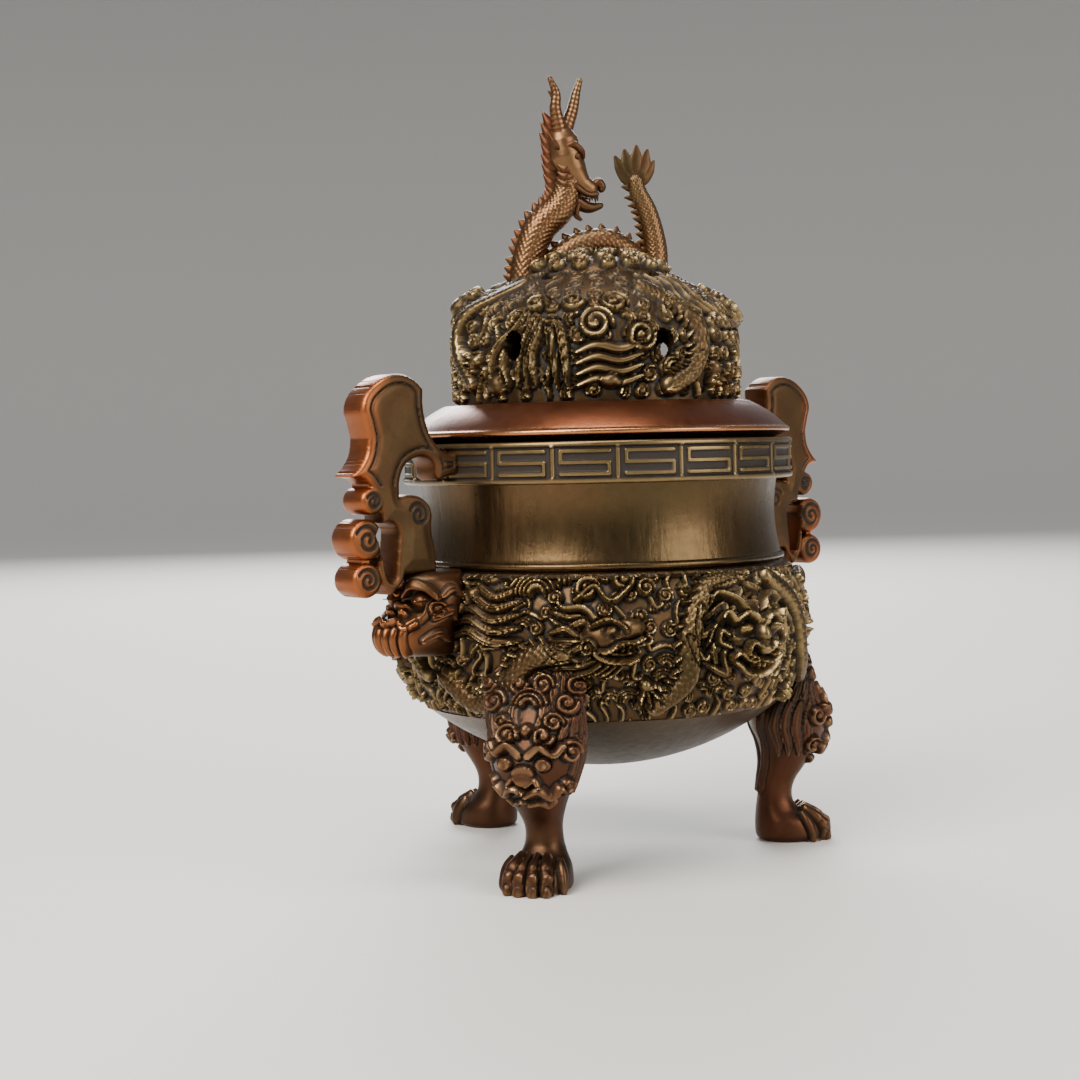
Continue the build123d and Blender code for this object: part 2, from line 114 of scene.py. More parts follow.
def moved(path, shift=0, side=1):
    """The (u, v) places of a path, mirrored where side is -1 and shifted round the wall."""
    return [(side * u + shift, v) for u, v in path]


# %% Meshes
def set_marks(mesh, marks):
    """Keeps one number a point under each name, for the finishes to read."""
    for name, values in marks.items():
        layer = mesh.attributes.new(name, "FLOAT", "POINT")
        layer.data.foreach_set("value", np.ascontiguousarray(values, np.float32).ravel())


def mesh_points(mesh):
    """The points of a mesh, in millimetres."""
    found = np.empty(3 * len(mesh.vertices), np.float32)
    mesh.vertices.foreach_get("co", found)
    return found.reshape(-1, 3).astype(float) / MM


def put_in(name, points, quads, triangles=(), marks=None, sharp_deg=50, rings=()):
    """A mesh object from points in millimetres, arrays of quads and triangles, and rings of more corners,
    shaded smooth with sharp edges where two faces meet at more than sharp_deg. marks are kept on points."""
    quads = np.asarray(quads, np.int32).reshape(-1, 4)
    triangles = np.asarray(triangles, np.int32).reshape(-1, 3)
    mesh = bpy.data.meshes.new(name)
    mesh.vertices.add(len(points))
    mesh.vertices.foreach_set("co", np.ascontiguousarray(points * MM, np.float32).ravel())
    corners = np.concatenate([quads.ravel(), triangles.ravel(), *rings]).astype(np.int32)
    sizes = [np.full(len(quads), 4), np.full(len(triangles), 3), [len(ring) for ring in rings]]
    sizes = np.concatenate(sizes).astype(np.int32)
    mesh.loops.add(len(corners))
    mesh.loops.foreach_set("vertex_index", corners)
    mesh.polygons.add(len(sizes))
    mesh.polygons.foreach_set("loop_start", np.concatenate([[0], np.cumsum(sizes)[:-1]]).astype(np.int32))
    mesh.polygons.foreach_set("use_smooth", np.ones(len(sizes), bool))
    set_marks(mesh, marks or {})
    mesh.update(calc_edges=True)
    mesh.validate()
    mesh.set_sharp_from_angle(angle=math.radians(sharp_deg))
    made = bpy.data.objects.new(name, mesh)
    bpy.context.scene.collection.objects.link(made)
    return made


def grid_quads(rows, columns, wrap_rows=False, wrap_columns=False):
    """Quads between neighbouring points of a grid that is stored row after row."""
    index = np.arange(rows * columns).reshape(rows, columns)
    if wrap_rows:
        index = np.vstack([index, index[:1]])
    if wrap_columns:
        index = np.hstack([index, index[:, :1]])
    corners = [index[:-1, :-1], index[:-1, 1:], index[1:, 1:], index[1:, :-1]]
    return np.stack(corners, axis=-1).reshape(-1, 4)


def outward(points, faces):
    """Whether faces on a closed surface point outwards: their summed volume from the middle is positive."""
    p = points[faces] - points.mean(0)
    return (np.cross(p[:, 1] - p[:, 0], p[:, 2] - p[:, 0]) * p[:, 0]).sum() > 0


def capped(grid):
    """Points, quads and triangles, facing outwards, of a grid whose columns go all the way round and whose
    first and last rows shrink to one point each, like the lines of a globe."""
    rows, columns = grid.shape[:2]
    points = np.vstack([grid.reshape(-1, 3), grid[0].mean(0), grid[-1].mean(0)])
    quads = grid_quads(rows, columns, wrap_columns=True)
    ring = np.arange(columns)
    after, last = np.roll(ring, -1), (rows - 1) * columns
    low = np.stack([after, ring, np.full(columns, rows * columns)], axis=-1)
    high = np.stack([last + ring, last + after, np.full(columns, rows * columns + 1)], axis=-1)
    triangles = np.vstack([low, high])
    if not outward(points, quads):
        quads, triangles = quads[:, ::-1], triangles[:, ::-1]
    return points, quads, triangles


def capped_marks(marks):
    """The marks of a capped grid: those of its points, and the mean of each end row at its pole."""
    return {k: np.append(v.ravel(), [v[0].mean(), v[-1].mean()]) for k, v in marks.items()}


def double_sheet(name, front, back, keep, marks, sharp_deg=50):
    """A closed mesh from a front and a back grid of the same size. Only the cells in keep are covered, and
    a wall joins front to back along every free edge, outside and round holes."""
    rows, columns = front.shape[:2]
    quads = grid_quads(rows, columns)[keep.ravel()]
    edges = np.concatenate([quads[:, [k, (k + 1) % 4]] for k in range(4)])
    key = np.sort(edges, axis=1)
    _, first, count = np.unique(key, axis=0, return_index=True, return_counts=True)
    free = edges[first[count == 1]]
    half = rows * columns
    wall = np.stack([free[:, 1], free[:, 0], free[:, 0] + half, free[:, 1] + half], axis=-1)
    faces = np.vstack([quads, quads[:, ::-1] + half, wall])
    points = np.vstack([front.reshape(-1, 3), back.reshape(-1, 3)])
    if not outward(points, faces):
        faces = faces[:, ::-1]
    used, packed = np.unique(faces, return_inverse=True)
    kept = {k: np.tile(v.ravel(), 2)[used] for k, v in marks.items()}
    return put_in(name, points[used], packed.reshape(-1, 4), (), kept, sharp_deg)


def shell_patch(name, front, back, marks, back_rows=7):
    """A closed mesh from a fine front sheet and a coarse back sheet, whose rows are a few of the same ones.
    Strips close it above and below, and one many-sided face at each end."""
    rows, columns = front.shape[:2]
    picked = np.linspace(0, rows - 1, back_rows).round().astype(int)
    face = np.arange(rows * columns).reshape(rows, columns)
    rear = rows * columns + np.arange(back_rows * columns).reshape(back_rows, columns)
    below = np.stack([face[0, 1:], face[0, :-1], rear[0, :-1], rear[0, 1:]], axis=-1)
    above = np.stack([face[-1, :-1], face[-1, 1:], rear[-1, 1:], rear[-1, :-1]], axis=-1)
    behind = grid_quads(back_rows, columns)[:, ::-1] + rows * columns
    quads = np.vstack([grid_quads(rows, columns), behind, below, above])
    rings = [np.concatenate([face[:, 0], rear[::-1, 0]]), np.concatenate([face[::-1, -1], rear[:, -1]])]
    points = np.vstack([front.reshape(-1, 3), back[picked].reshape(-1, 3)])
    kept = {k: np.concatenate([v.ravel(), v[picked].ravel()]) for k, v in marks.items()}
    return put_in(name, points, quads, marks=kept, rings=rings)


def turned(name, profile, columns=240, wobble=0.0):
    """A lathe-turned piece: the closed (radius, height) profile carried round the axis. wobble is a slow
    unevenness of the radius, as hand work has."""
    profile = np.asarray(profile, float)
    angle = np.linspace(0, 2 * np.pi, columns, endpoint=False)
    swell = 1 + wobble / 30 * (np.sin(2 * angle + 0.6) + 0.6 * np.sin(5 * angle + 2.0))
    x = profile[:, :1] * np.cos(angle) * swell
    y = profile[:, :1] * np.sin(angle) * swell
    z = np.repeat(profile[:, 1:], columns, axis=1)
    grid = np.stack([x, y, z], axis=-1)
    quads = grid_quads(len(profile), columns, wrap_rows=True, wrap_columns=True)
    points = grid.reshape(-1, 3)
    if not outward(points, quads):
        quads = quads[:, ::-1]
    return put_in(name, points, quads, sharp_deg=35)


# %% [markdown]
# ## Carving
# A Skin is any wall given by a function of two parameters. Strokes, bosses and spirals are measured on the
# wall itself in millimetres, so a stroke keeps its width wherever it goes. Each new stroke takes the higher
# of itself and what is there, after a narrow bite has been cut along its sides: that dark outline is what
# tells one form from the next on chased bronze. Finally the height is compared with its own average, which
# tells high edges, where hands wear the patina away, from hollows, where dirt stays.


# %% Skins
trench_width = 0.28
fan_spread = 150.0


class Skin:
    """A wall, as a grid of points with outward normals, and the height of the work on it."""

    def __init__(self, place, us, vs, wrap=False):
        self.place = place
        self.u, self.v = np.meshgrid(us, vs)
        self.wrap = wrap
        self.base = place(self.u, self.v)
        self.normal = self.slopes(self.base)
        self.height = np.zeros(self.u.shape)
        self.flat_points = self.base.reshape(-1, 3)
        self.flat_normals = self.normal.reshape(-1, 3)

    def slopes(self, grid):
        """Unit normals: the cross product of the grid's two directions."""
        if self.wrap:
            across = np.roll(grid, -1, 1) - np.roll(grid, 1, 1)
        else:
            across = np.gradient(grid, axis=1)
        along = np.gradient(grid, axis=0)
        n = np.cross(across, along)
        return n / np.maximum(np.linalg.norm(n, axis=-1, keepdims=True), 1e-9)

    def at(self, u, v):
        """The point of the wall at (u, v), its normal, and two unit directions along the wall."""
        step = 1e-3
        p = self.place(np.array([u, u + step, u]), np.array([v, v, v + step]))
        right = (p[1] - p[0]) / np.linalg.norm(p[1] - p[0])
        normal = np.cross(right, p[2] - p[0])
        normal /= np.linalg.norm(normal)
        return p[0], normal, right, np.cross(normal, right)

    def near(self, middle, reach):
        """Numbers of the grid points within reach of middle."""
        return np.flatnonzero(((self.flat_points - middle) ** 2).sum(1) < reach**2)

    def lay(self, line, width, height, strands=1, taper=(1, 1), level=0.0, bite=0.3, scales=0.0, plump=0.5):
        """Raises a ribbon along a 3-D line of points. Its section is a rounded ridge, (1 - x^2)^plump over
        half the width, split into strands; taper gives its width at both ends as a share of the middle."""
        line = np.asarray(line)
        middle = (line.min(0) + line.max(0)) / 2
        reach = np.linalg.norm(line - middle, axis=1).max() + width
        chosen = self.near(middle, reach)
        if not len(chosen):
            return
        p, n = self.flat_points[chosen], self.flat_normals[chosen]
        start, step = line[:-1], np.diff(line, axis=0)
        length2 = np.maximum((step**2).sum(1), 1e-9)
        best = np.full(len(p), 1e9)
        share = np.zeros(len(p))
        side = np.zeros(len(p))
        for k in range(len(step)):
            gap = p - start[k]
            t = np.clip(gap @ step[k] / length2[k], 0, 1)
            gap = gap - t[:, None] * step[k]
            gap -= (gap * n).sum(1)[:, None] * n
            far = (gap**2).sum(1)
            closer = far < best
            best[closer] = far[closer]
            share[closer] = (k + t[closer]) / len(step)
            side[closer] = (np.cross(step[k], gap[closer]) * n[closer]).sum(1)
        swell = np.sin(np.pi * np.clip(share, 0, 1)) ** 0.7
        ends = taper[0] + (taper[1] - taper[0]) * share
        half = width / 2 * (ends + (1 - ends) * swell)
        x = np.sqrt(best) / np.maximum(half, 0.02)
        signed = np.clip(x * np.sign(side), -1, 1)
        ridge = np.clip(1 - x**2, 0, 1) ** plump * (1 - 0.35 * signed)
        if strands > 1:
            ridge *= 0.55 + 0.45 * np.abs(np.sin(np.pi * strands * (signed + 1) / 2)) ** 0.6
        if scales:
            ridge += self.scale_pattern(share, signed, line, width, scales) * (x < 0.92)
        old = self.height.ravel()[chosen]
        trench = np.clip(1 - (np.sqrt(best) - half) / trench_width, 0, 1) * (x >= 1)
        cut = old - bite * trench * np.clip(old + 0.4, 0.2, 1)
        new = np.where(x < 1, np.maximum(old * 0.35 + (level - 0.1) * 0.65, level + height * ridge), cut)
        new = np.where((x < 1) & (old > new + 0.5 * height), old, new)
        self.height.ravel()[chosen] = new

    @staticmethod
    def scale_pattern(share, signed, line, width, depth):
        """Overlapping rounded scales: the higher of two lattices of half discs, half a step apart."""
        length = np.linalg.norm(np.diff(line, axis=0), axis=1).sum()
        pitch = max(width * 0.34, 0.5)
        a, b = share * length / pitch, signed * width / 2 / pitch * 1.1
        found = np.full(len(a), -1.0)
        for shift in (0, 0.5):
            fa, fb = (a + shift) % 1, (b + shift) % 1 - 0.5
            found = np.maximum(found, np.where(fa**2 + (2 * fb) ** 2 < 1, 0.4 + 0.6 * fa, -1))
        return depth * np.maximum(found, -0.4)

    def on_wall(self, path, count=40):
        """A smooth 3-D line through (u, v) places on the wall."""
        track = smooth(path, count)
        return self.place(track[:, 0], track[:, 1])

    def ribbon(self, path, width, height, count=40, **how):
        """A ribbon through (u, v) places on the wall."""
        self.lay(self.on_wall(path, count), width, height, **how)

    def sketch(self, centre, shape, turn=0.0, mirror=1):
        """3-D points of a flat drawing, in millimetres, laid on the wall at centre and turned."""
        point, _, right, up = self.at(*centre)
        a = math.radians(turn)
        flat = np.asarray(shape, float) * (mirror, 1)
        x = flat[:, 0] * math.cos(a) - flat[:, 1] * math.sin(a)
        y = flat[:, 0] * math.sin(a) + flat[:, 1] * math.cos(a)
        return point + x[:, None] * right + y[:, None] * up

    def boss(self, centre, size, height, turn=0.0, bite=0.3, offset=(0, 0), mirror=1):
        """An oval button: half an ellipsoid of size (length, width) on the wall."""
        middle = self.sketch(centre, [offset], turn, mirror)[0]
        _, _, right, up = self.at(*centre)
        chosen = self.near(middle, max(size))
        gap = self.flat_points[chosen] - middle
        a = math.radians(turn)
        x, y = gap @ right, gap @ up
        along, across = x * math.cos(a) + y * math.sin(a), y * math.cos(a) - x * math.sin(a)
        r = np.sqrt((2 * along / size[0]) ** 2 + (2 * across / size[1]) ** 2)
        old = self.height.ravel()[chosen]
        ridge = height * np.sqrt(np.clip(1 - r**2, 0, 1))
        trench = np.clip(1 - (r - 1) * min(size) / 2 / trench_width, 0, 1) * (r >= 1)
        self.height.ravel()[chosen] = np.where(r < 1, np.maximum(old, ridge), old - bite * trench)

    def spiral(self, centre, radius, height, turns=1.6, hand=1, start=0.0, **how):
        """A cloud curl: a ribbon that winds in to its middle, and a bead there."""
        width = radius / (turns + 0.35)
        t = np.linspace(0, 1, 44)
        r = (radius - width / 2) * (1 - t) ** 0.85
        a = math.radians(start) + hand * turns * 2 * np.pi * t
        flat = np.stack([r * np.cos(a), r * np.sin(a)], axis=-1)
        self.lay(self.sketch(centre, flat), width, height, taper=(0.8, 0.7), **how)
        self.boss(centre, (width * 1.1, width * 1.1), height * 1.1, bite=0.1)

    def fan(self, centre, radius, height, rings=3, turn=90.0):
        """A fish-scale cloud: nested arcs round one centre, each higher than the one outside it."""
        for ring in range(rings):
            r = radius * (1 - ring / (rings + 0.4))
            a = np.radians(np.linspace(turn - fan_spread / 2, turn + fan_spread / 2, 24))
            flat = np.stack([r * np.cos(a), r * np.sin(a)], axis=-1)
            step = height * 0.25 * ring
            self.lay(self.sketch(centre, flat), radius / rings, height, level=step, bite=0.25)

    def surface(self):
        """The wall with its work on it."""
        return self.base + self.height[..., None] * self.normal

    def marks(self, reach=9):
        """How worn and how deep each point is: the height less its average nearby, up and down."""
        mean = self.height.copy()
        for _ in range(reach):
            mean[1:-1] = (mean[2:] + mean[:-2] + 2 * mean[1:-1]) / 4
            if self.wrap:
                mean = (np.roll(mean, 1, 1) + np.roll(mean, -1, 1) + 2 * mean) / 4
            else:
                mean[:, 1:-1] = (mean[:, 2:] + mean[:, :-2] + 2 * mean[:, 1:-1]) / 4
        edge = self.height - mean
        ground = 0.7 * (1 - fade(self.height, 0.05, 0.55)) * (np.abs(mean) > 0.08)
        return {"worn": np.clip(edge * 2.4 - 0.12, 0, 1), "deep": np.clip(ground - edge * 3.2, 0, 1)}


# %% [markdown]
# ## Finishes
# Old bronze has three depths of colour. The skin is olive brown and never even; the hollows hold a nearly
# black film of smoke and wax; and on every edge that a hand or a cloth reaches, bare metal shows. So each
# finish is the same recipe with its own colours. It reads two marks that the meshes carry, how worn and
# how deep a point is, and breaks both up with noise in the object's own space. Arithmetic on a Value adds
# Math nodes, so a recipe reads as a sum.


# %% Shader arithmetic
class Value:
    """A socket that can be added, subtracted and multiplied in Python."""

    def __init__(self, finish, socket):
        self.finish, self.socket = finish, socket

    def math(self, operation, first, second):
        return self.finish.node("ShaderNodeMath", {"operation": operation}, {0: first, 1: second})

    def __add__(self, other):
        return self.math("ADD", self, other)

    def __sub__(self, other):
        return self.math("SUBTRACT", self, other)

    def __rsub__(self, other):
        return self.math("SUBTRACT", other, self)

    def __mul__(self, other):
        return self.math("MULTIPLY", self, other)

    __radd__ = __add__
    __rmul__ = __mul__

    def held(self):
        """The same value kept between 0 and 1."""
        return self.finish.node("ShaderNodeClamp", {}, {0: self})


class Finish:
    """A material being made. node() adds a node of any type: settings first, then values or links."""

    def __init__(self, name):
        self.material = bpy.data.materials.new(name)
        self.material.use_nodes = True
        self.tree = self.material.node_tree
        self.tree.nodes.clear()
        self.place = self.node("ShaderNodeTexCoord", output="Object")

    def node(self, kind, settings=None, inputs=None, output=0):
        made = self.tree.nodes.new(kind)
        for setting, value in (settings or {}).items():
            setattr(made, setting, value)
        for socket, value in (inputs or {}).items():
            if isinstance(value, Value):
                self.tree.links.new(value.socket, made.inputs[socket])
            else:
                made.inputs[socket].default_value = value
        return Value(self, made.outputs[output])

    def noise(self, size_mm, detail=4.0, stretch=(1, 1, 1)):
        """Noise with features about size_mm across, drawn out where stretch is small."""
        place = self.node("ShaderNodeMapping", {}, {"Vector": self.place, "Scale": stretch})
        settings = {"Vector": place, "Scale": 0.6 / (size_mm * MM), "Detail": detail, "Roughness": 0.6}
        return self.node("ShaderNodeTexNoise", {}, settings)

    def mark(self, name):
        return self.node("ShaderNodeAttribute", {"attribute_name": name}, output="Fac")

    def mix(self, share, first, second):
        inputs = {0: share, 6: first, 7: second}
        return self.node("ShaderNodeMix", {"data_type": "RGBA"}, inputs, output=2)

    def metal(self, colour, metallic, roughness, height, depth_mm):
        """Ends the material: a metal whose bump comes from height."""
        bump = {"Height": height, "Strength": 1.0, "Distance": depth_mm * MM}
        normal = self.node("ShaderNodeBump", {}, bump)
        inputs = {"Base Color": colour, "Metallic": metallic, "Roughness": roughness, "Normal": normal}
        shader = self.node("ShaderNodeBsdfPrincipled", {}, inputs)
        end = self.tree.nodes.new("ShaderNodeOutputMaterial")
        self.tree.links.new(shader.socket, end.inputs["Surface"])
        return self.material


def linear(red, green, blue):
    """A screen colour from 0 to 255 as the light values that a shader mixes."""
    return tuple((c / 255) ** 2.2 for c in (red, green, blue)) + (1.0,)


# %% Metal recipes
def aged(name, skin, tint, bare, rough=0.42, smooth=0.24, scratches=0.0, grime=1.0, pits=0.05):
    """Skin colour drifting to tint, black in the hollows, bare where worn, with pits and scratches."""
    made = Finish(name)
    drift = ((made.noise(9) - 0.36) * 3.2).held()
    grain = made.noise(0.9, 6.0)
    fine = made.noise(0.25, 3.0)
    worn = (made.mark("worn") * (0.55 + 0.9 * grain)).held()
    deep = ((made.mark("deep") * 1.25 + (made.noise(3.5) - 0.56) * 0.9) * grime).held()
    colour = made.mix(drift, linear(*skin), linear(*tint))
    colour = made.mix(((grain - 0.5) * 1.6).held() * 0.5, colour, linear(*(0.55 * np.array(skin))))
    colour = made.mix(worn, colour, linear(*bare))
    colour = made.mix(deep * 0.93, colour, linear(26, 19, 12))
    rubbed = made.noise(1.1, 3.0, stretch=(1.6, 1.6, 0.12)) if scratches else fine
    roughness = rough + (smooth - rough) * worn + 0.22 * deep + (grain - 0.5) * 0.16
    roughness = (roughness + (rubbed - 0.5) * 0.2).held()
    metallic = (0.96 - 0.72 * deep).held()
    height = grain * 0.55 + fine * 0.25 + rubbed * scratches
    return made.metal(colour, metallic, roughness, height, pits)


bronze = aged("bronze", (66, 55, 38), (80, 60, 41), (142, 121, 84))
neck_bronze = aged("neck_bronze", (74, 62, 43), (86, 67, 47), (138, 118, 84), 0.3, 0.22, 1.0, 0.5)
leg_bronze = aged("leg_bronze", (66, 51, 38), (80, 52, 39), (134, 104, 76))
handle_bronze = aged("handle_bronze", (72, 58, 41), (82, 59, 41), (140, 82, 50), rough=0.5, smooth=0.36)
mask_bronze = aged("mask_bronze", (70, 55, 39), (86, 57, 39), (142, 88, 54))
brim_copper = aged("brim_copper", (96, 57, 38), (106, 62, 42), (164, 112, 76), 0.34, 0.2, 0.5, 0.6)
dragon_bronze = aged("dragon_bronze", (70, 57, 40), (96, 58, 42), (142, 112, 78))
pin_bronze = aged("pin_bronze", (76, 61, 44), (88, 61, 44), (136, 110, 78), 0.36)
print("finishes", len(bpy.data.materials))


# %% Putting pieces in place
def finished(piece, body, material, slot, *nodes):
    """Gives a piece its metal, the body it moves with and the nodes it replaces. slot is not used."""
    piece.data.materials.clear()
    piece.data.materials.append(material)
    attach(piece, body)
    if nodes:
        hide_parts(*nodes)
    print(piece.name, "faces", len(piece.data.polygons))
    return piece


# %% [markdown]
# ## The bowl
# The bowl is one casting. Its plain parts, the floor, the neck and the inside, are turned in one profile.
# The belly's raised work and the rim's fret are finer, so each is a band of its own over that profile.

# %% Plain bowl
wall = 2.2
base_edge = (26.6, 22.8)
shoulder = (28.4, 42.6)
bead_z = 44.2
neck_radius = 26.2
mouth_radius = neck_radius - wall
rim_radius = 29.0
rim_foot_z = rim_z - 5.9


def arc_through(a, b, c, count):
    """Points on the circle through three points, from a to c."""
    a, b, c = (np.asarray(p, float) for p in (a, b, c))
    middle_ab, middle_bc = (a + b) / 2, (b + c) / 2
    matrix = np.array([b - a, c - b])
    centre = np.linalg.solve(matrix, [(b - a) @ middle_ab, (c - b) @ middle_bc])
    angles = np.unwrap([math.atan2(*(p - centre)[::-1]) for p in (a, b, c)])
    t = np.linspace(angles[0], angles[2], count)
    return centre + np.linalg.norm(a - centre) * np.stack([np.cos(t), np.sin(t)], axis=-1)


def belly_wall(z):
    """Radius of the belly's ground, a little under the CAD wall, so that the work stands round it."""
    arc = arc_through((base_edge[0] + 0.4, base_edge[1]), (belly_radius, 33.0), shoulder, 60)
    return np.interp(z, arc[:, 1], arc[:, 0]) - 0.6


def bowl_profile():
    """Outside from the floor up to the rim, then down the inside."""
    outside_base = arc_through((0.02, base_z), (13.3, base_z + 2.25), base_edge, 26)
    belly = [(belly_wall(z) - 0.3, z) for z in np.linspace(base_edge[1] + 0.4, shoulder[1], 16)]
    bead = arc_through((27.0, bead_z - 0.55), (27.55, bead_z), (27.0, bead_z + 0.55), 9)
    neck = arc_through((27.0, bead_z + 0.6), (neck_radius, 50.0), (neck_radius + 0.4, rim_foot_z), 24)
    rim = [(28.3, rim_foot_z), (28.3, rim_z - 0.2), (28.0, rim_z), (mouth_radius + 0.3, rim_z)]
    inside = [(mouth_radius, rim_z - 0.4), (mouth_radius, bead_z + wall), (shoulder[0] - wall, shoulder[1])]
    hollow = arc_through((26.2, 42.0), (belly_radius - wall, 33.0), (24.6, 23.4), 18)
    floor = arc_through((24.4, 23.0), (12.2, base_z + wall + 1.9), (0.02, base_z + wall), 20)
    parts = [outside_base, belly, [shoulder], bead, neck, rim, inside, hollow, floor]
    return np.vstack([np.asarray(p, float) for p in parts])


bowl = turned("bowl_plain", bowl_profile(), columns=300, wobble=0.02)
bowl_z = mesh_points(bowl.data)[:, 2]
# Darker towards the bottom: the bowl's outside under the belly's foot is given the dark of the deep mark.
darker_below_base = 0.75 * (1 - fade(bowl_z, base_edge[1] - 2, base_edge[1] + 1))
set_marks(bowl.data, {"deep": darker_below_base})
finished(bowl, "vessel", neck_bronze, "bronze", "bowl")

# %% [markdown]
# ## The rim's fret
# The overhanging rim is cast with a squared meander between two lips. A meander is nothing but straight
# raised lines, so its height is worked out from the distance to a few level and upright segments, repeated
# in twenty cells round the rim.

# %% Rim band
fret_cells = 20
fret_lines = [
    (0.0, 0.0, 0.0, 1.0),
    (0.13, 0.86, 0.87, 0.86),
    (0.13, 0.50, 0.13, 0.86),
    (0.13, 0.50, 0.68, 0.50),
    (0.32, 0.50, 0.87, 0.50),
    (0.87, 0.14, 0.87, 0.50),
    (0.13, 0.14, 0.87, 0.14),
]
lip = 0.8


def fret(angle_deg, share):
    """Height of the meander at an angle and at a share of the way up the recess: a flat-topped line
    wherever the nearest segment is closer than half a line's width."""
    cell = 2 * np.pi * rim_radius / fret_cells
    tall = rim_z - rim_foot_z - 2 * lip
    x = (angle_deg * fret_cells / 360) % 1
    nearest = np.full(np.broadcast(x, share).shape, 9.0)
    for x0, y0, x1, y1 in fret_lines:
        for shift in (0, 1):
            dx = (x - np.clip(x, x0 + shift, x1 + shift)) * cell
            dy = (share - np.clip(share, y0, y1)) * tall
            nearest = np.minimum(nearest, np.hypot(dx, dy))
    return 0.34 * (1 - fade(nearest, 0.2, 0.36))


def rim_place(u, v):
    """The rim's outer face: rounded lips above and below a recess."""
    z = v
    from_edge = np.minimum(z - rim_foot_z, rim_z - z)
    radius = rim_radius - 0.42 * fade(from_edge, lip - 0.15, lip + 0.1)
    radius = radius - 0.45 * (1 - np.sqrt(np.clip(1 - (1 - np.clip(from_edge / 0.45, 0, 1)) ** 2, 0, 1)))
    radius = radius + 0.05 * np.sin(np.radians(3 * u + 40))
    return round_axis(radius, u, z)


rim_columns, rim_rows = 1500, 46
rim = Skin(
    rim_place,
    np.linspace(0, 360, rim_columns, endpoint=False),
    np.linspace(rim_foot_z, rim_z, rim_rows),
    wrap=True,
)
rim_share = (rim.v - rim_foot_z - lip) / (rim_z - rim_foot_z - 2 * lip)
inside_recess = fade(rim_share, -0.08, 0.0) * fade(1 - rim_share, -0.08, 0.0)
rim.height = fret(rim.u, rim_share) * inside_recess * (0.86 + 0.14 * np.sin(np.radians(7 * rim.u)))
rim_marks = rim.marks(5)
raised = fade(rim.height, 0.12, 0.3)
rim_marks["worn"] = 0.62 * raised + 0.5 * (1 - inside_recess)
rim_marks["deep"] = 0.85 * inside_recess * (1 - raised)
band_bore = 27.9
behind = rim.base[[-1, 0]] * (band_bore / rim_radius, band_bore / rim_radius, 1)
behind = behind + [[[0, 0, -0.05]], [[0, 0, 0.05]]]
rim_grid = np.concatenate([rim.surface(), behind])
rim_quads = grid_quads(*rim_grid.shape[:2], wrap_rows=True, wrap_columns=True)
rim_kept = {k: np.concatenate([v, v[[-1, 0]]]) for k, v in rim_marks.items()}
rim_piece = put_in("rim_fret", rim_grid.reshape(-1, 3), rim_quads, (), rim_kept)
finished(rim_piece, "vessel", bronze, "bronze", "bowl")

# %% [markdown]
# ## The belly
# The belly is the showpiece: two dragons' heads, one in profile and one full face with its mane spread,
# long scaled bodies, clawed feet, and curling clouds in every gap. The founder carved one half and used the
# mould twice, so the back repeats the front. The wall swells under each head, then strokes are laid from
# the farthest to the nearest: clouds, bodies, manes and last the faces.

# %% Belly ground
belly_swells = [(270, 33.6, 12.5, 6.6, 3.0), (230, 34.2, 9.5, 5.0, 1.7), (198, 37.0, 9.0, 4.5, 0.8)]
belly_foot, belly_top = 22.8, 43.3


def belly_place(u, v):
    """The turned wall, with a swelling under each head: rise · exp(-(turn / wide)² - (dz / tall)²)."""
    radius = belly_wall(v)
    for middle, height, wide, tall, rise in belly_swells:
        turn = (u - middle + 90) % 180 - 90
        radius = radius + rise * np.exp(-((turn / wide) ** 2) - ((v - height) / tall) ** 2)
    return round_axis(radius, u, v)


belly_columns, belly_rows = 1280, 132
belly = Skin(
    belly_place,
    np.linspace(180, 540, belly_columns, endpoint=False),
    np.linspace(belly_foot, belly_top, belly_rows),
    wrap=True,
)


# %% Motifs
def flame(skin, u, v, turn, size, height, mirror=1, **how):
    """A lick of cloud: an S-shaped ribbon that ends in a hook."""
    drawn = np.array([(-2.6, -0.5), (-1.2, 0.3), (0.4, 0.0), (1.7, -0.5), (2.3, 0.3), (1.7, 0.8)]) * size
    line = smooth(skin.sketch((u, v), drawn, turn, mirror), 30)
    skin.lay(line, 0.95 * size, height, taper=(0.15, 0.4), **how)


def clouds(skin, v_rows, step_deg, size, height, seed):
    """A field of curls, fish-scale clouds and licks, each moved and turned a little by chance."""
    draw = np.random.default_rng(seed)
    for row, v in enumerate(v_rows):
        for u in np.arange(180 + step_deg * (row % 2) / 2, 360, step_deg):
            du, dv, pick, turn = draw.uniform(-0.2, 0.2, 4) * (step_deg, 2.0, 5, 5)
            hand = 1 if draw.random() < 0.5 else -1
            for half in (0, 180):
                where = (u + du + half, v + dv)
                if pick > 0.25:
                    skin.spiral(where, size * 0.92, height, turns=1.9, hand=hand, start=turn * 180)
                elif pick > -0.35:
                    skin.fan(where, size * 1.05, height * 0.75, turn=90 + 60 * turn)
                else:
                    flame(skin, *where, turn * 90, size * 0.62, height, hand)


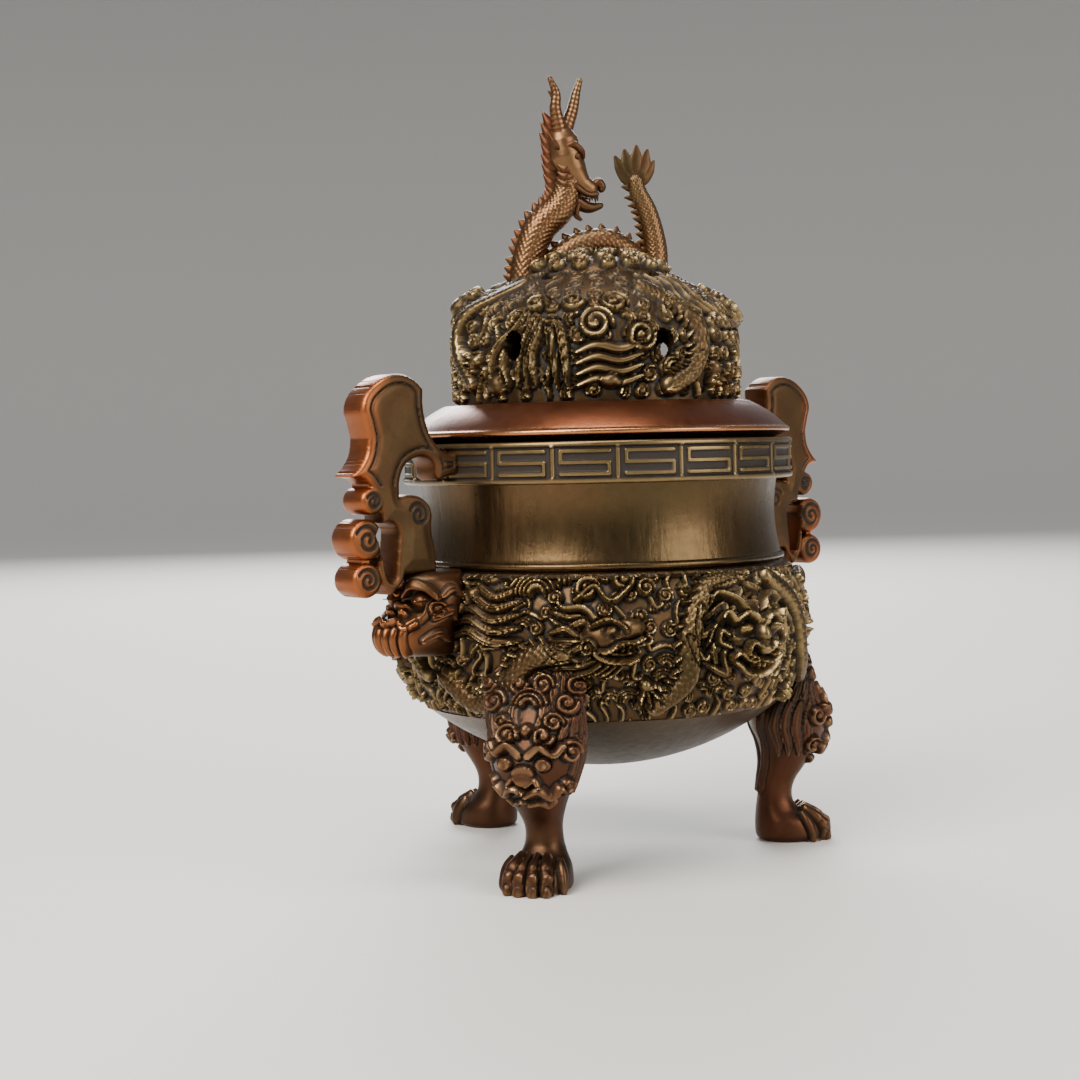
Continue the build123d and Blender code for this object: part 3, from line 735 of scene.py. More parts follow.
def claw(skin, u, v, turn, size=1.0, height=1.4, mirror=1):
    """A dragon's foot: four knuckled toes with hooked nails, and a heel."""
    for toe in range(4):
        a = math.radians(-48 + 32 * toe)
        tip = np.array([math.cos(a), math.sin(a)])
        bend = np.array([-math.sin(a), math.cos(a)])
        for near, far, wide, high in ((0.4, 2.6, 1.05, 1.0), (2.2, 3.9, 0.6, 1.15)):
            line = [tip * near, tip * (near + far) / 2 + bend * 0.25, tip * far - bend * 0.2]
            drawn = skin.sketch((u, v), np.array(line) * size, turn, mirror)
            skin.lay(smooth(drawn, 14), wide * size, height * high, taper=(1, 0.35), bite=0.4)
        knuckle, at = (1.1 * size, 1.1 * size), tip * 2.3 * size
        skin.boss((u, v), knuckle, height * 1.15, turn, offset=at, mirror=mirror)
    skin.boss((u, v), (2.4 * size, 2.2 * size), height * 1.05, turn, bite=0.4)


def body(skin, path, width, height=1.5):
    """A scaled body: a thick ribbon with scales, and a comb of little fins along its upper side."""
    skin.ribbon(path, width, height, scales=0.3, plump=0.42, bite=0.55, count=70)
    line = skin.on_wall(path, 70)
    ahead = np.gradient(line, axis=0)
    ahead /= np.linalg.norm(ahead, axis=1, keepdims=True)
    out = line * (1, 1, 0)
    out /= np.linalg.norm(out, axis=1, keepdims=True)
    above = np.cross(out, ahead)
    for k in range(4, 68, 4):
        fin = line[k] + np.outer([0.42, 0.72], above[k]) * width + np.outer([0, -0.5], ahead[k])
        skin.lay(fin, 0.75, height * 0.85, taper=(1, 0.2), bite=0.15)


# %% Faces
def face_tools(skin, u, v, turn, size, mirror=1):
    """The two tools that carve a face at (u, v): a stroke through flat places, and an oval knob."""

    def stroke(points, width, height, side=1, **how):
        line = skin.sketch((u, v), np.array(points) * size, turn, mirror * side)
        skin.lay(smooth(line, 30), width * size, height, **how)

    def knob(spot, wide, tall, height, side=1, tilt=0.0):
        oval, at = (wide * size, tall * size), np.array(spot) * size
        skin.boss((u, v), oval, height, turn + tilt, offset=at, mirror=mirror * side)

    return stroke, knob


def skin_spot(skin, u, v, offset, turn, mirror):
    """The (u, v) place of a flat offset from (u, v), read from the nearest point of the grid."""
    point = skin.sketch((u, v), [offset], turn, mirror)[0]
    nearest = ((skin.flat_points - point) ** 2).sum(1).argmin()
    return skin.u.ravel()[nearest], skin.v.ravel()[nearest]


def profile_head(skin, u, v, turn=0.0, mirror=1, size=1.0):
    """A dragon's head seen from the side, looking right: mane, horn, brow, eye, snout, jaw and whisker."""
    stroke, knob = face_tools(skin, u, v, turn, size, mirror)
    for k in range(7):
        y = 3.2 - 1.15 * k
        sway = 0.7 * math.sin(2.1 * k)
        points = [(-0.6, y * 0.6), (-3.0, y + sway), (-5.6, y * 1.1 - sway), (-8.2, y * 1.25 + sway)]
        stroke(points, 1.25, 1.1, strands=2, taper=(0.8, 0.2), bite=0.45)
    knob((0.2, 0.6), 6.6, 5.0, 1.7)
    knob((3.4, 1.2), 4.6, 2.8, 1.9, tilt=12)
    stroke([(-0.8, 2.6), (-3.0, 4.6), (-5.8, 4.5), (-7.0, 5.5)], 1.2, 1.9, taper=(1, 0.25), bite=0.5)
    stroke([(-1.6, 1.9), (0.4, 2.9), (2.2, 2.3), (2.9, 1.5)], 1.05, 2.5, taper=(0.5, 0.5), bite=0.4)
    knob((0.9, 1.45), 1.7, 1.4, 2.6)
    knob((1.0, 1.45), 0.7, 0.7, 3.0)
    knob((5.2, 2.1), 1.8, 1.5, 2.6)
    knob((5.6, 1.7), 0.6, 0.6, 2.0)
    stroke([(5.6, 0.9), (4.0, 0.2), (2.2, 0.0), (0.6, -0.9), (-0.8, -1.0)], 0.95, 2.4, bite=0.45)
    stroke([(5.0, -2.0), (3.4, -2.5), (1.4, -2.3), (-0.4, -1.7), (-1.6, -0.4)], 1.2, 2.1, bite=0.5)
    for tooth in range(5):
        stroke([(4.9 - 0.8 * tooth, 0.0), (4.8 - 0.8 * tooth, -1.0)], 0.5, 2.0, taper=(1, 0.3), bite=0.2)
    stroke([(4.4, -1.0), (2.6, -1.3), (1.0, -1.2)], 0.8, 1.5, bite=0.2)
    stroke([(5.4, 2.7), (6.6, 4.0), (5.6, 5.6), (3.8, 5.2)], 0.75, 1.6, taper=(1, 0.3), bite=0.4)
    for k in range(4):
        points = [(2.8 - k, -2.9), (1.6 - 1.2 * k, -4.4), (0.4 - 1.6 * k, -5.2)]
        stroke(points, 0.85, 1.5, taper=(1, 0.2), bite=0.4)
    cheek = skin_spot(skin, u, v, np.array((-1.8, -0.6)) * size, turn, mirror)
    skin.spiral(cheek, 1.2 * size, 2.1)


def front_head(skin, u, v, size=1.0, mane=18):
    """A dragon's face seen from the front: spread mane, horns, brows, eyes, broad nose, teeth and beard."""
    stroke, knob = face_tools(skin, u, v, 0.0, size)
    for k in range(mane):
        a = math.radians(-40 + 260 * k / (mane - 1))
        reach = 8.6 + 1.3 * math.sin(2.6 * k)
        bend = 0.28 * (-1) ** k
        spots = [(r * math.cos(a + b), 0.88 * r * math.sin(a + b)) for r, b in
                 ((3.0, 0), (5.0, bend), (reach - 1.6, -bend), (reach, bend))]
        stroke(spots, 1.35, 1.0 + 0.25 * (k % 2), strands=2, taper=(1, 0.25), bite=0.5)
    knob((0, 0.4), 8.2, 8.0, 1.5)
    for side in (-1, 1):
        stroke([(1.3, 2.8), (2.4, 5.0), (4.8, 6.2), (6.3, 4.8)], 1.25, 2.0, side, taper=(1, 0.25), bite=0.5)
        stroke([(0.3, 1.5), (1.6, 2.5), (3.2, 2.0), (4.2, 3.1), (5.0, 2.6)], 1.15, 2.7, side, bite=0.5)
        knob((1.85, 0.95), 2.0, 1.6, 2.6, side)
        knob((1.85, 0.9), 0.8, 0.8, 3.1, side)
        stroke([(0.5, -0.9), (1.5, -0.5), (1.9, -1.4), (1.1, -1.7)], 0.85, 2.9, side, bite=0.3)
        stroke([(0.0, -2.1), (1.6, -2.4), (3.0, -1.6), (3.9, -2.4)], 0.95, 2.5, side, bite=0.45)
        stroke([(0.0, -4.7), (1.6, -4.4), (2.8, -3.3), (3.6, -2.8)], 1.15, 2.2, side, bite=0.5)
        stroke([(4.2, -1.0), (5.6, -0.2), (5.2, 1.3), (4.2, 0.7)], 0.95, 1.7, side, bite=0.4)
        for tooth in range(4):
            x = 0.35 + 0.72 * tooth
            stroke([(x, -2.6), (x + 0.05, -3.4 + 0.12 * tooth)], 0.55, 2.2, side, taper=(1, 0.4), bite=0.2)
        for lock in range(3):
            x = 0.5 + 1.1 * lock
            points = [(x, -5.2), (x * 1.15, -6.5), (x * 0.8, -7.6)]
            stroke(points, 0.95, 1.6, side, taper=(1, 0.2), bite=0.4)
    knob((0, 0.2), 1.7, 3.2, 2.9)
    knob((0, -1.0), 2.2, 1.5, 3.1)


# %% Belly relief
belly_bodies = [
    (3.4, [(182, 29), (191, 25.8), (201, 27.8), (209, 32), (219, 33)]),
    (3.2, [(243, 25.6), (251, 29), (252, 35), (258, 40.5), (268, 42)]),
    (3.4, [(282, 41.5), (293, 38), (301, 31), (312, 27), (323, 28.5)]),
    (2.8, [(352, 29), (343, 33), (334, 38), (322, 40.5), (310, 40)]),
]
belly_curls = [(225, 41.0, 2.1, 1), (234.5, 42.2, 2.0, -1), (240.5, 41.0, 1.5, 1), (217, 28.2, 1.9, -1)]
belly_claws = [(240, 28.2, -60, 0.85), (297, 27.0, -110, 0.95), (316, 35.2, 20, 0.9), (335, 27.4, 200, 0.9)]
clouds(belly, np.arange(24.2, 43.0, 2.3), 4.9, 1.4, 0.75, seed=11)
for half in (0, 180):
    for width, path in belly_bodies:
        body(belly, moved(path, half), width)
    for k in range(5):
        v = 40.6 - 1.45 * k
        path = [(185, v), (192, v + 0.9), (199, v - 0.5), (207, v + 0.8 - 0.3 * k)]
        belly.ribbon(moved(path, half), 1.5, 1.2, strands=3, taper=(0.7, 0.3), bite=0.5)
    claw(belly, 192 + half, 40.3, 186, 0.95)
    belly.fan((211.5 + half, 40.4), 3.0, 1.15, rings=4, turn=100)
    belly.fan((215.5 + half, 42.0), 2.2, 1.0, rings=3, turn=80)
    for u, v, radius, hand in belly_curls:
        belly.spiral((u + half, v), radius, 1.5, hand=hand, bite=0.4)
    belly.ribbon(moved([(222, 39.6), (227, 41.4), (231, 39.4), (236, 41.2)], half), 0.9, 1.6)
    for u, v, turn, size in belly_claws:
        claw(belly, u + half, v, turn, size)
    profile_head(belly, 229 + half, 34.2, turn=-4)
    profile_head(belly, 331 + half, 32.4, turn=6, mirror=-1, size=0.8)
    front_head(belly, 269 + half, 34.0, size=1.12)
print("belly relief from", round(belly.height.min(), 2), "to", round(belly.height.max(), 2), "mm")

# %% Belly pieces
deepest_cut, highest_work = -0.5, 3.4
belly.height = belly.height.clip(deepest_cut, highest_work)
edge_of_belly = np.minimum(belly.v - belly_foot, belly_top - belly.v)
belly.height = belly.height * fade(edge_of_belly, -0.1, 0.7)
belly_marks = belly.marks()
belly_front = belly.surface()
inner_share = 0.955
belly_back = belly.base * (inner_share, inner_share, 1)
for name, first in (("belly_front", 0), ("belly_rear", belly_columns // 2)):
    columns = np.arange(first, first + belly_columns // 2 + 1) % belly_columns
    marks = {k: v[:, columns] for k, v in belly_marks.items()}
    piece = shell_patch(name, belly_front[:, columns], belly_back[:, columns], marks)
    finished(piece, "vessel", bronze, "bronze", "bowl")

# %% [markdown]
# ## The brim
# The brim is reddish copper, turned apart from the dome. It slopes up from a thin bright edge to a collar,
# and a spigot under it drops into the bowl's mouth. It is a single profile carried round the axis, with
# the slight unevenness that hammering leaves.

# %% Brim
spigot_radius, spigot_bore = 23.65, 22.05
rebate_radius = 21.45
dome_wall = 1.6
edge = brim_radius
brim_profile = np.vstack(
    [
        arc_through((edge - 0.5, rim_z + 0.86), (edge, rim_z + 1.2), (edge - 0.35, rim_z + 1.62), 8),
        arc_through((edge - 0.55, rim_z + 1.72), (26.1, rim_z + 3.55), (23.3, collar_z - 0.25), 26),
        arc_through((23.1, collar_z - 0.12), (22.8, collar_z - 0.02), (22.4, collar_z), 5),
        [(rebate_radius, collar_z), (rebate_radius, dome_foot_z)],
        [(dome_radius - dome_wall, dome_foot_z), (spigot_bore, rim_z)],
        [(spigot_bore, spigot_z + 0.2), (spigot_bore + 0.2, spigot_z), (spigot_radius - 0.2, spigot_z)],
        [(spigot_radius, spigot_z + 0.2), (spigot_radius, rim_z), (26.3, rim_z), (26.6, rim_z + 0.12)],
    ]
)
brim = turned("brim", brim_profile, columns=360, wobble=0.05)
from_axis = np.linalg.norm(mesh_points(brim.data)[:, :2], axis=1)
set_marks(brim.data, {"worn": fade(from_axis, edge - 0.9, edge - 0.1)})
finished(brim, "lid", brim_copper, "copper_rim", "lid_brim")

# %% [markdown]
# ## The dome
# The dome is a thin pierced shell. Its wall is a cylinder that turns into half an ellipse, measured along
# its own profile so that strokes keep their size to the crown. It carries the same motifs as the belly,
# a clenched paw on one shoulder and a maned head on the other, and the smoke holes go right through:
# cells of the grid are left out there, and the sheet's two sides are joined round each hole.

# %% Dome ground
spring_z = 74.0
ground_radius = dome_radius - 0.7
ground_crown = crown_z - 0.5
foot_length = spring_z - dome_foot_z
quarter = np.linspace(0, np.pi / 2, 400)
curve_r = np.concatenate([[ground_radius], ground_radius * np.cos(quarter)])
curve_z = np.concatenate([[dome_foot_z], spring_z + (ground_crown - spring_z) * np.sin(quarter)])
curve_s = np.concatenate([[0], np.cumsum(np.hypot(np.diff(curve_r), np.diff(curve_z)))])
dome_length = curve_s[-1]
dome_swells = [
    (150, 15.6, 15, 4.4, 2.2),
    (330, 15.0, 15, 4.4, 1.6),
    (238, 12.0, 12, 4.0, 0.4),
    (58, 12.0, 12, 4.0, 0.4),
]


def dome_place(u, v):
    """Profile of the dome at length v from its foot, swelling under the paw and the head."""
    radius, z = np.interp(v, curve_s, curve_r), np.interp(v, curve_s, curve_z)
    lean = np.interp(v, curve_s, np.concatenate([[0, 0], quarter[1:]]))
    rise = 0.0
    for middle, length, wide, tall, height in dome_swells:
        turn = (u - middle + 180) % 360 - 180
        rise = rise + height * np.exp(-((turn / wide) ** 2) - ((v - length) / tall) ** 2)
    rise = rise * fade(v, 0.8, 3.0)
    return round_axis(radius + rise * np.cos(lean), u, z + rise * np.sin(lean))


dome_columns, dome_rows = 620, 146
dome_top_length = dome_length - 7.5
dome = Skin(
    dome_place,
    np.linspace(0, 360, dome_columns, endpoint=False),
    np.linspace(0.05, dome_top_length, dome_rows),
    wrap=True,
)


def dome_v(z):
    """Length along the profile at a height."""
    return float(np.interp(z, curve_z, curve_s))


# %% Dome relief
dome_draw = np.random.default_rng(23)
for row, v in enumerate(np.arange(2.6, dome_top_length, 2.5)):
    around = 2 * np.pi * float(np.interp(v, curve_s, curve_r))
    count = int(around / 3.1)
    for k in range(count):
        u = 360 * (k + 0.5 * (row % 2) + dome_draw.uniform(-0.2, 0.2)) / count
        pick, hand = dome_draw.random(), 1 if dome_draw.random() < 0.5 else -1
        where = (u, v + dome_draw.uniform(-0.5, 0.5))
        if pick < 0.6:
            dome.spiral(where, 1.45, 0.8, turns=1.9, hand=hand, start=360 * pick)
        elif pick < 0.85:
            dome.fan(where, 1.8, 0.65, turn=90 + 60 * hand)
        else:
            flame(dome, *where, 90 * pick * hand, 0.95, 0.9, hand)
dome_curls = [(229, 11.6, 2.8, 1), (246, 9.9, 2.6, -1), (237, 15.0, 2.3, 1), (219, 15.6, 2.1, -1)]
dome_bodies = [
    (3.0, [(258, 3.0), (268, 5.5), (272, 10), (266, 15), (254, 18.5)]),
    (2.8, [(352, 4), (342, 8), (340, 13.0), (350, 17.5), (362, 20.5)]),
]
for half in (0, 180):
    for lock in range(9):
        sway = 1.2 * math.sin(2.3 * lock)
        top, foot = 200 + half + 1.2 * lock, 186 + half + 4.0 * lock
        path = [(top, dome_v(80) - 0.3 * lock), (top - 3 + lock, 11.5)]
        path += [(foot + 2 * sway, 7.5), (foot, 2.2 + abs(sway))]
        dome.ribbon(path, 1.5, 1.4, strands=3, taper=(0.5, 0.2), bite=0.5)
    dome.spiral((203 + half, dome_v(80.5)), 1.9, 2.0, bite=0.4)
    for u, v, radius, hand in dome_curls:
        dome.spiral((u + half, v), radius, 1.5, turns=2.0, hand=hand, bite=0.5)
    for band in range(4):
        v = 3.2 + 1.55 * band
        path = moved([(221, v), (229, v + 1.0), (238, v + 0.4), (246, v + 1.3)], half)
        dome.ribbon(path, 1.5, 1.15, taper=(0.5, 0.5), bite=0.4)
    dome.boss((187 + half, 3.6), (3.4, 3.4), 1.6, bite=0.4)
    dome.boss((234 + half, 3.8), (3.0, 2.2), 1.5, bite=0.4)
    for (width, path), height in zip(dome_bodies, (1.5, 1.4)):
        body(dome, moved(path, half), width, height)
    claw(dome, 176 + half, 7.2, 200, 1.0, 1.6)
    claw(dome, 281 + half, 5.6, -70, 1.0, 1.5)
    for lock in range(4):
        u = 262 + half + 7 * lock
        path = [(u, 22.0), (u + 5, 19.5), (u + 3, 16.5), (u + 9, 13.5)]
        dome.ribbon(path, 1.4, 1.3, strands=2, taper=(0.6, 0.2), bite=0.45)
front_head(dome, 330, 15.6, size=0.78, mane=16)
claw(dome, 150, 15.2, 90, 1.3, 1.9)

# %% Dome pieces
skin_depth = 0.9
smoke_holes = [(16 + 60 * k, dome_v(75.0), 1.25, 1.9) for k in range(6)]
smoke_holes += [(54 + 72 * k, dome_v(85.4), 1.3, 1.7) for k in range(5)]
open_cells = np.zeros(dome.u.shape, bool)
for u, v, wide, tall in smoke_holes:
    middle, normal, right_way, up_way = dome.at(u, v)
    gap = dome.base - middle
    near_hole = (np.abs(gap @ normal) < 4) & (((dome.u - u + 180) % 360 - 180) ** 2 < 30**2)
    radial = np.hypot((gap @ right_way) / wide, (gap @ up_way) / tall)
    lipped = np.clip(1.55 - radial, 0, 1) * near_hole
    dome.height = dome.height * (1 - lipped) + 0.7 * lipped
    open_cells |= near_hole & (radial < 1)
dome_fade = fade(dome.v, 0.9, 1.7)
dome.height = dome.height.clip(-0.5, 2.3) * dome_fade * (1 - 0.55 * fade(dome.v, 11, 18))
dome_marks = dome.marks(7)
dome_front = dome.surface()
inner_radius = np.interp(dome.v, curve_s, curve_r) - skin_depth
inner_z = np.interp(dome.v, curve_s, curve_z) - skin_depth * dome.v / dome_length
dome_back = round_axis(inner_radius, dome.u, inner_z)
for name, first in (("dome_front", 0), ("dome_rear", dome_columns // 2)):
    columns = (np.arange(first, first + dome_columns // 2 + 1) + 84) % dome_columns
    solid = ~open_cells[:, columns]
    keep = solid[:-1, :-1] & solid[1:, :-1] & solid[:-1, 1:] & solid[1:, 1:]
    marks = {k: v[:, columns] for k, v in dome_marks.items()}
    piece = double_sheet(name, dome_front[:, columns], dome_back[:, columns], keep, marks)
    finished(piece, "lid", bronze, "bronze", "lid_dome")

# %% [markdown]
# ## Legs
# A leg is one curved column: lion's paw, slim ankle, a swelling knee that is a beast's face, and a hip that
# flows up under the belly in strokes of hair. A table of cross sections gives the column, each an egg from
# an inner to an outer radius, and the same carving strokes give it its face.

# %% Leg column
leg_sections = np.array(
    [
        (0.0, 24.4, 33.0, 7.6),
        (0.5, 23.8, 34.0, 8.9),
        (1.6, 23.6, 34.1, 9.0),
        (3.2, 23.6, 33.0, 8.4),
        (4.8, 23.7, 30.2, 6.4),
        (6.6, 23.9, 29.2, 5.3),
        (9.0, 24.2, 29.6, 5.4),
        (12.0, 24.6, 31.6, 7.6),
        (15.0, 24.2, 33.6, 10.4),
        (18.0, 23.0, 34.4, 12.2),
        (21.0, 23.2, 33.6, 13.0),
        (23.6, 26.0, 32.2, 13.6),
        (26.0, 27.4, 31.1, 13.8),
        (28.4, 27.9, 30.3, 13.0),
        (30.4, 28.3, 29.7, 11.0),
        (31.6, 28.5, 29.2, 8.0),
    ]
)


def column_place(sections):
    """A wall round a column along +X: at height v the section is an egg, x = middle + reach cos(u) and
    y = half width sin(u), drawn through the table with a smooth line."""
    table = smooth(sections, 240)

    def place(u, v):
        inner, outer, width = (np.interp(v, table[:, 0], table[:, k]) for k in (1, 2, 3))
        a = np.radians(u)
        x = (inner + outer) / 2 + (outer - inner) / 2 * np.sign(np.cos(a)) * np.abs(np.cos(a)) ** 0.92
        y = width / 2 * np.sign(np.sin(a)) * np.abs(np.sin(a)) ** 0.92
        return np.stack([x, y, v + 0 * u], axis=-1)

    return place


column_angles = np.linspace(-180, 180, 236, endpoint=False)
leg_top = 31.5
leg = Skin(column_place(leg_sections), column_angles, np.linspace(0.02, leg_top, 200), wrap=True)

# %% Leg relief
hip_curls = [(14, 28.4, 1.9, 1), (46, 26.0, 2.1, -1), (30, 23.4, 1.7, 1), (72, 28.2, 1.8, 1)]
brow = [(5, 19.2), (18, 20.2), (34, 19.3), (44, 20.4)]
nostril = [(2, 15.6), (12, 16.3), (20, 15.3), (11, 14.9)]
upper_lip = [(0, 14.2), (18, 14.9), (36, 13.9), (50, 15.0)]
lower_lip = [(0, 12.4), (18, 12.7), (34, 12.2), (46, 12.9)]
for side in (-1, 1):
    for lock in range(7):
        u = 8 + 17 * lock
        path = [(u + 14, 30.6), (u + 4, 27.6), (u * 1.05 + 9, 24.4), (u, 21.4 - 0.3 * lock)]
        leg.ribbon(moved(path, side=side), 2.1, 0.55, strands=3, taper=(0.4, 0.3), bite=0.25)
    for lock in range(4):
        path = [(70 + 16 * lock, 21.5), (78 + 16 * lock, 17.5), (68 + 18 * lock, 13.5)]
        leg.ribbon(moved(path, side=side), 1.9, 0.55, strands=3, taper=(0.6, 0.2), bite=0.25)
    for u, v, radius, hand in hip_curls:
        leg.spiral((side * u, v), radius, 1.0, hand=hand * side, bite=0.3)
    leg.spiral((side * 60, 19.6), 2.0, 1.1, hand=side, bite=0.35)
    leg.spiral((side * 66, 15.2), 1.6, 0.95, hand=-side, bite=0.35)
    leg.spiral((side * 20, 21.6), 1.9, 1.3, hand=-side, bite=0.35)
    leg.ribbon(moved(brow, side=side), 1.25, 1.5, bite=0.4)
    leg.boss((side * 24, 18.1), (2.2, 1.9), 1.4, bite=0.35)
    leg.boss((side * 24, 18.0), (0.9, 0.9), 1.8, bite=0.15)
    leg.ribbon(moved(nostril, side=side), 0.9, 1.3, bite=0.3)
    leg.ribbon(moved(upper_lip, side=side), 1.15, 1.3, bite=0.4)
    leg.ribbon(moved(lower_lip, side=side), 0.9, 0.7, bite=0.3)
    leg.ribbon([(side * 150, 20), (side * 160, 14), (side * 165, 8)], 1.6, 0.5, strands=2, bite=0.25)
    for toe in (10, 31):
        spread = side * toe
        path = [(spread * 0.9, 4.6), (spread, 3.2), (spread * 1.05, 1.9), (spread * 1.05, 0.7)]
        leg.ribbon(path, 2.0, 1.15, taper=(0.45, 0.9), bite=0.7)
        leg.boss((spread * 1.03, 2.3), (1.9, 1.7), 1.45, bite=0.2)
        leg.boss((spread * 1.05, 0.75), (1.1, 1.2), 1.35, bite=0.35)
    leg.ribbon([(side * 62, 4.0), (side * 66, 2.4), (side * 66, 0.9)], 1.7, 0.9, taper=(0.5, 0.8), bite=0.4)
leg.boss((0, 17.0), (1.9, 3.2), 1.7, turn=90, bite=0.3)
leg.boss((0, 16.2), (2.6, 1.6), 1.9, bite=0.3)
leg.boss((0, 22.4), (2.0, 2.0), 1.2, bite=0.3)
leg.fan((0, 25.4), 2.4, 0.8, rings=3)
from_top = fade(leg_top - leg.v, 0.0, 2.0)
leg.height = leg.height.clip(-0.4, 2.0) * from_top * fade(leg.v, -0.2, 0.5)
against_bowl = 1 - 0.9 * fade(np.abs(leg.u), 95, 130) * fade(leg.v, 18, 22)
leg.height = leg.height * against_bowl
leg_marks = leg.marks(6)
leg_grid = leg.surface()
leg_grid[..., 2] = np.maximum(leg_grid[..., 2], 0.0)
leg_reach = 34.9
leg_grid[..., 0] = np.minimum(leg_grid[..., 0], leg_reach)
for name, angle in (("back", 90), ("front_left", 210), ("front_right", 330)):
    a = math.radians(angle)
    turning = np.array([[math.cos(a), math.sin(a), 0], [-math.sin(a), math.cos(a), 0], [0, 0, 1]])
    piece = put_in(f"lion_leg_{name}", *capped(leg_grid @ turning), capped_marks(leg_marks))
    finished(piece, "vessel", leg_bronze, "bronze", f"leg_{name}")

# %% [markdown]
# ## Masks
# Under each handle a small beast's head holds on to the belly: a brow, bulging eyes, a broad nose, and a
# ribbed beard that juts out. It is the same kind of column as a leg, so it is carved in the same way.

# %% Masks
mask_sections = np.array(
    [
        (32.0, 29.0, 34.4, 4.0),
        (32.4, 28.8, 37.8, 7.2),
        (33.4, 28.7, 39.6, 8.8),
        (35.0, 28.7, 40.2, 9.6),
        (36.6, 28.6, 39.4, 10.2),
        (38.0, 28.4, 37.4, 10.8),
        (39.6, 28.2, 36.0, 11.2),
        (41.4, 27.8, 36.4, 10.8),
        (42.8, 27.4, 37.0, 9.8),
        (43.6, 27.2, 36.4, 8.0),
        (43.9, 27.2, 35.6, 6.0),
    ]
)
mask_foot, mask_top = 32.0, 43.9
mask_heights = np.linspace(32.02, 43.88, 110)
mask = Skin(column_place(mask_sections), column_angles, mask_heights, wrap=True)
mask_brow = [(6, 41.0), (24, 42.3), (46, 41.9), (62, 40.4)]
mask_lip = [(0, 36.5), (20, 37.0), (36, 36.2), (50, 36.8)]
for side in (-1, 1):
    mask.boss((side * 30, 39.9), (2.7, 2.5), 1.6, bite=0.35)
    mask.boss((side * 30, 39.8), (1.1, 1.1), 2.1, bite=0.15)
    mask.ribbon(moved(mask_brow, side=side), 1.2, 1.2, bite=0.35)
    mask.ribbon([(side * 46, 39.6), (side * 52, 37.6), (side * 40, 36.4)], 1.2, 0.7, bite=0.3)
    mask.ribbon(moved(mask_lip, side=side), 0.9, 1.0, bite=0.4)
    mask.spiral((side * 66, 38.6), 1.6, 0.9, hand=side, bite=0.3)
    mask.boss((side * 13, 37.9), (1.5, 1.3), 1.3, bite=0.25)
    for lock in range(3):
        u = 8 + 15 * lock
        mask.ribbon([(side * u, 35.9), (side * (u + 1), 34.2), (side * u, 32.9)], 1.25, 0.6, bite=0.45)
    for lock in range(3):
        z = 34.6 + 3 * lock
        path = [(side * 70, z), (side * 92, z + 0.9), (side * 112, z - 0.3)]
        mask.ribbon(path, 1.4, 0.7, strands=2, taper=(0.7, 0.3), bite=0.35)
mask.boss((0, 38.9), (1.7, 3.6), 1.3, turn=90, bite=0.25)
mask.boss((0, 42.4), (2.0, 1.7), 1.0, bite=0.25)
from_end = np.minimum(mask.v - mask_foot, mask_top - mask.v)
mask.height = mask.height.clip(-0.4, 2.0) * fade(from_end, 0.0, 0.5)
mask_marks = mask.marks(6)
mask_grid = mask.surface()
jut = fade(mask_grid[..., 0], 36.0, 39.5)
mask_marks["worn"] = np.clip(mask_marks["worn"] + 0.55 * jut, 0, 1)
for name, turn in (("right", 1), ("left", -1)):
    piece = put_in(f"beast_{name}", *capped(mask_grid * (turn, turn, 1)), capped_marks(mask_marks))
    finished(piece, "vessel", mask_bronze, "bronze", f"mask_{name}")

# %% [markdown]
# ## Handles
# A handle is a flat scroll plate with rounded arrises. Its outline is one smooth line with round scrolls
# joined to it, written as a signed distance: below nothing inside the plate, above nothing outside. The
# distance gives the plate's thickness near its edge, the edge itself, and the lines cut round each scroll.

# %% Handle outline
outline_runs = [
    [(27.9, 60.5), (29.6, 60.1), (31.2, 60.9), (32.6, 62.5), (33.4, 64.4), (33.9, 66.6), (33.9, 69.2)],
    [(33.9, 69.2), (35.6, 70.6), (38.0, 71.2), (40.8, 70.5), (43.3, 68.6), (44.2, 66.4), (43.7, 64.4),
     (43.2, 62.4)],
    [(43.2, 62.4), (43.6, 60.3), (44.7, 58.6), (46.2, 57.3)],
    [(46.2, 57.3), (44.0, 56.9), (42.6, 55.4), (41.4, 53.0), (41.2, 50.2), (41.9, 46.6), (41.8, 43.4),
     (40.0, 40.9)],
    [(40.0, 40.9), (38.4, 42.4), (37.6, 43.7)],
    [(37.6, 43.7), (32.3, 43.7)],
    [(32.3, 43.7), (32.3, 46.6), (32.9, 49.2), (33.2, 51.8), (34.6, 54.0), (36.4, 54.6), (38.3, 54.4)],
    [(38.3, 54.4), (38.1, 56.8), (37.0, 58.8), (34.4, 59.8), (32.4, 58.9), (32.1, 57.2), (31.6, 56.4)],
    [(31.6, 56.4), (30.2, 56.9), (27.9, 57.3)],
    [(27.9, 57.3), (27.9, 60.5)],
]
scrolls = [(42.8, 53.9, 1.9), (43.9, 48.7, 2.8), (44.0, 43.2, 2.4), (35.3, 51.8, 2.4)]
handle_outline = np.vstack([smooth(run, max(6, 5 * len(run)))[:-1] for run in outline_runs])


def line_distance(x, y, line, closed=False):
    """Distance from each (x, y) to a line of points."""
    ends = np.roll(line, -1, 0) if closed else line[1:]
    nearest = np.full(x.shape, 99.0)
    for (x0, y0), (x1, y1) in zip(line, ends):
        dx, dy = x1 - x0, y1 - y0
        t = np.clip(((x - x0) * dx + (y - y0) * dy) / max(dx * dx + dy * dy, 1e-9), 0, 1)
        nearest = np.minimum(nearest, np.hypot(x - x0 - t * dx, y - y0 - t * dy))
    return nearest


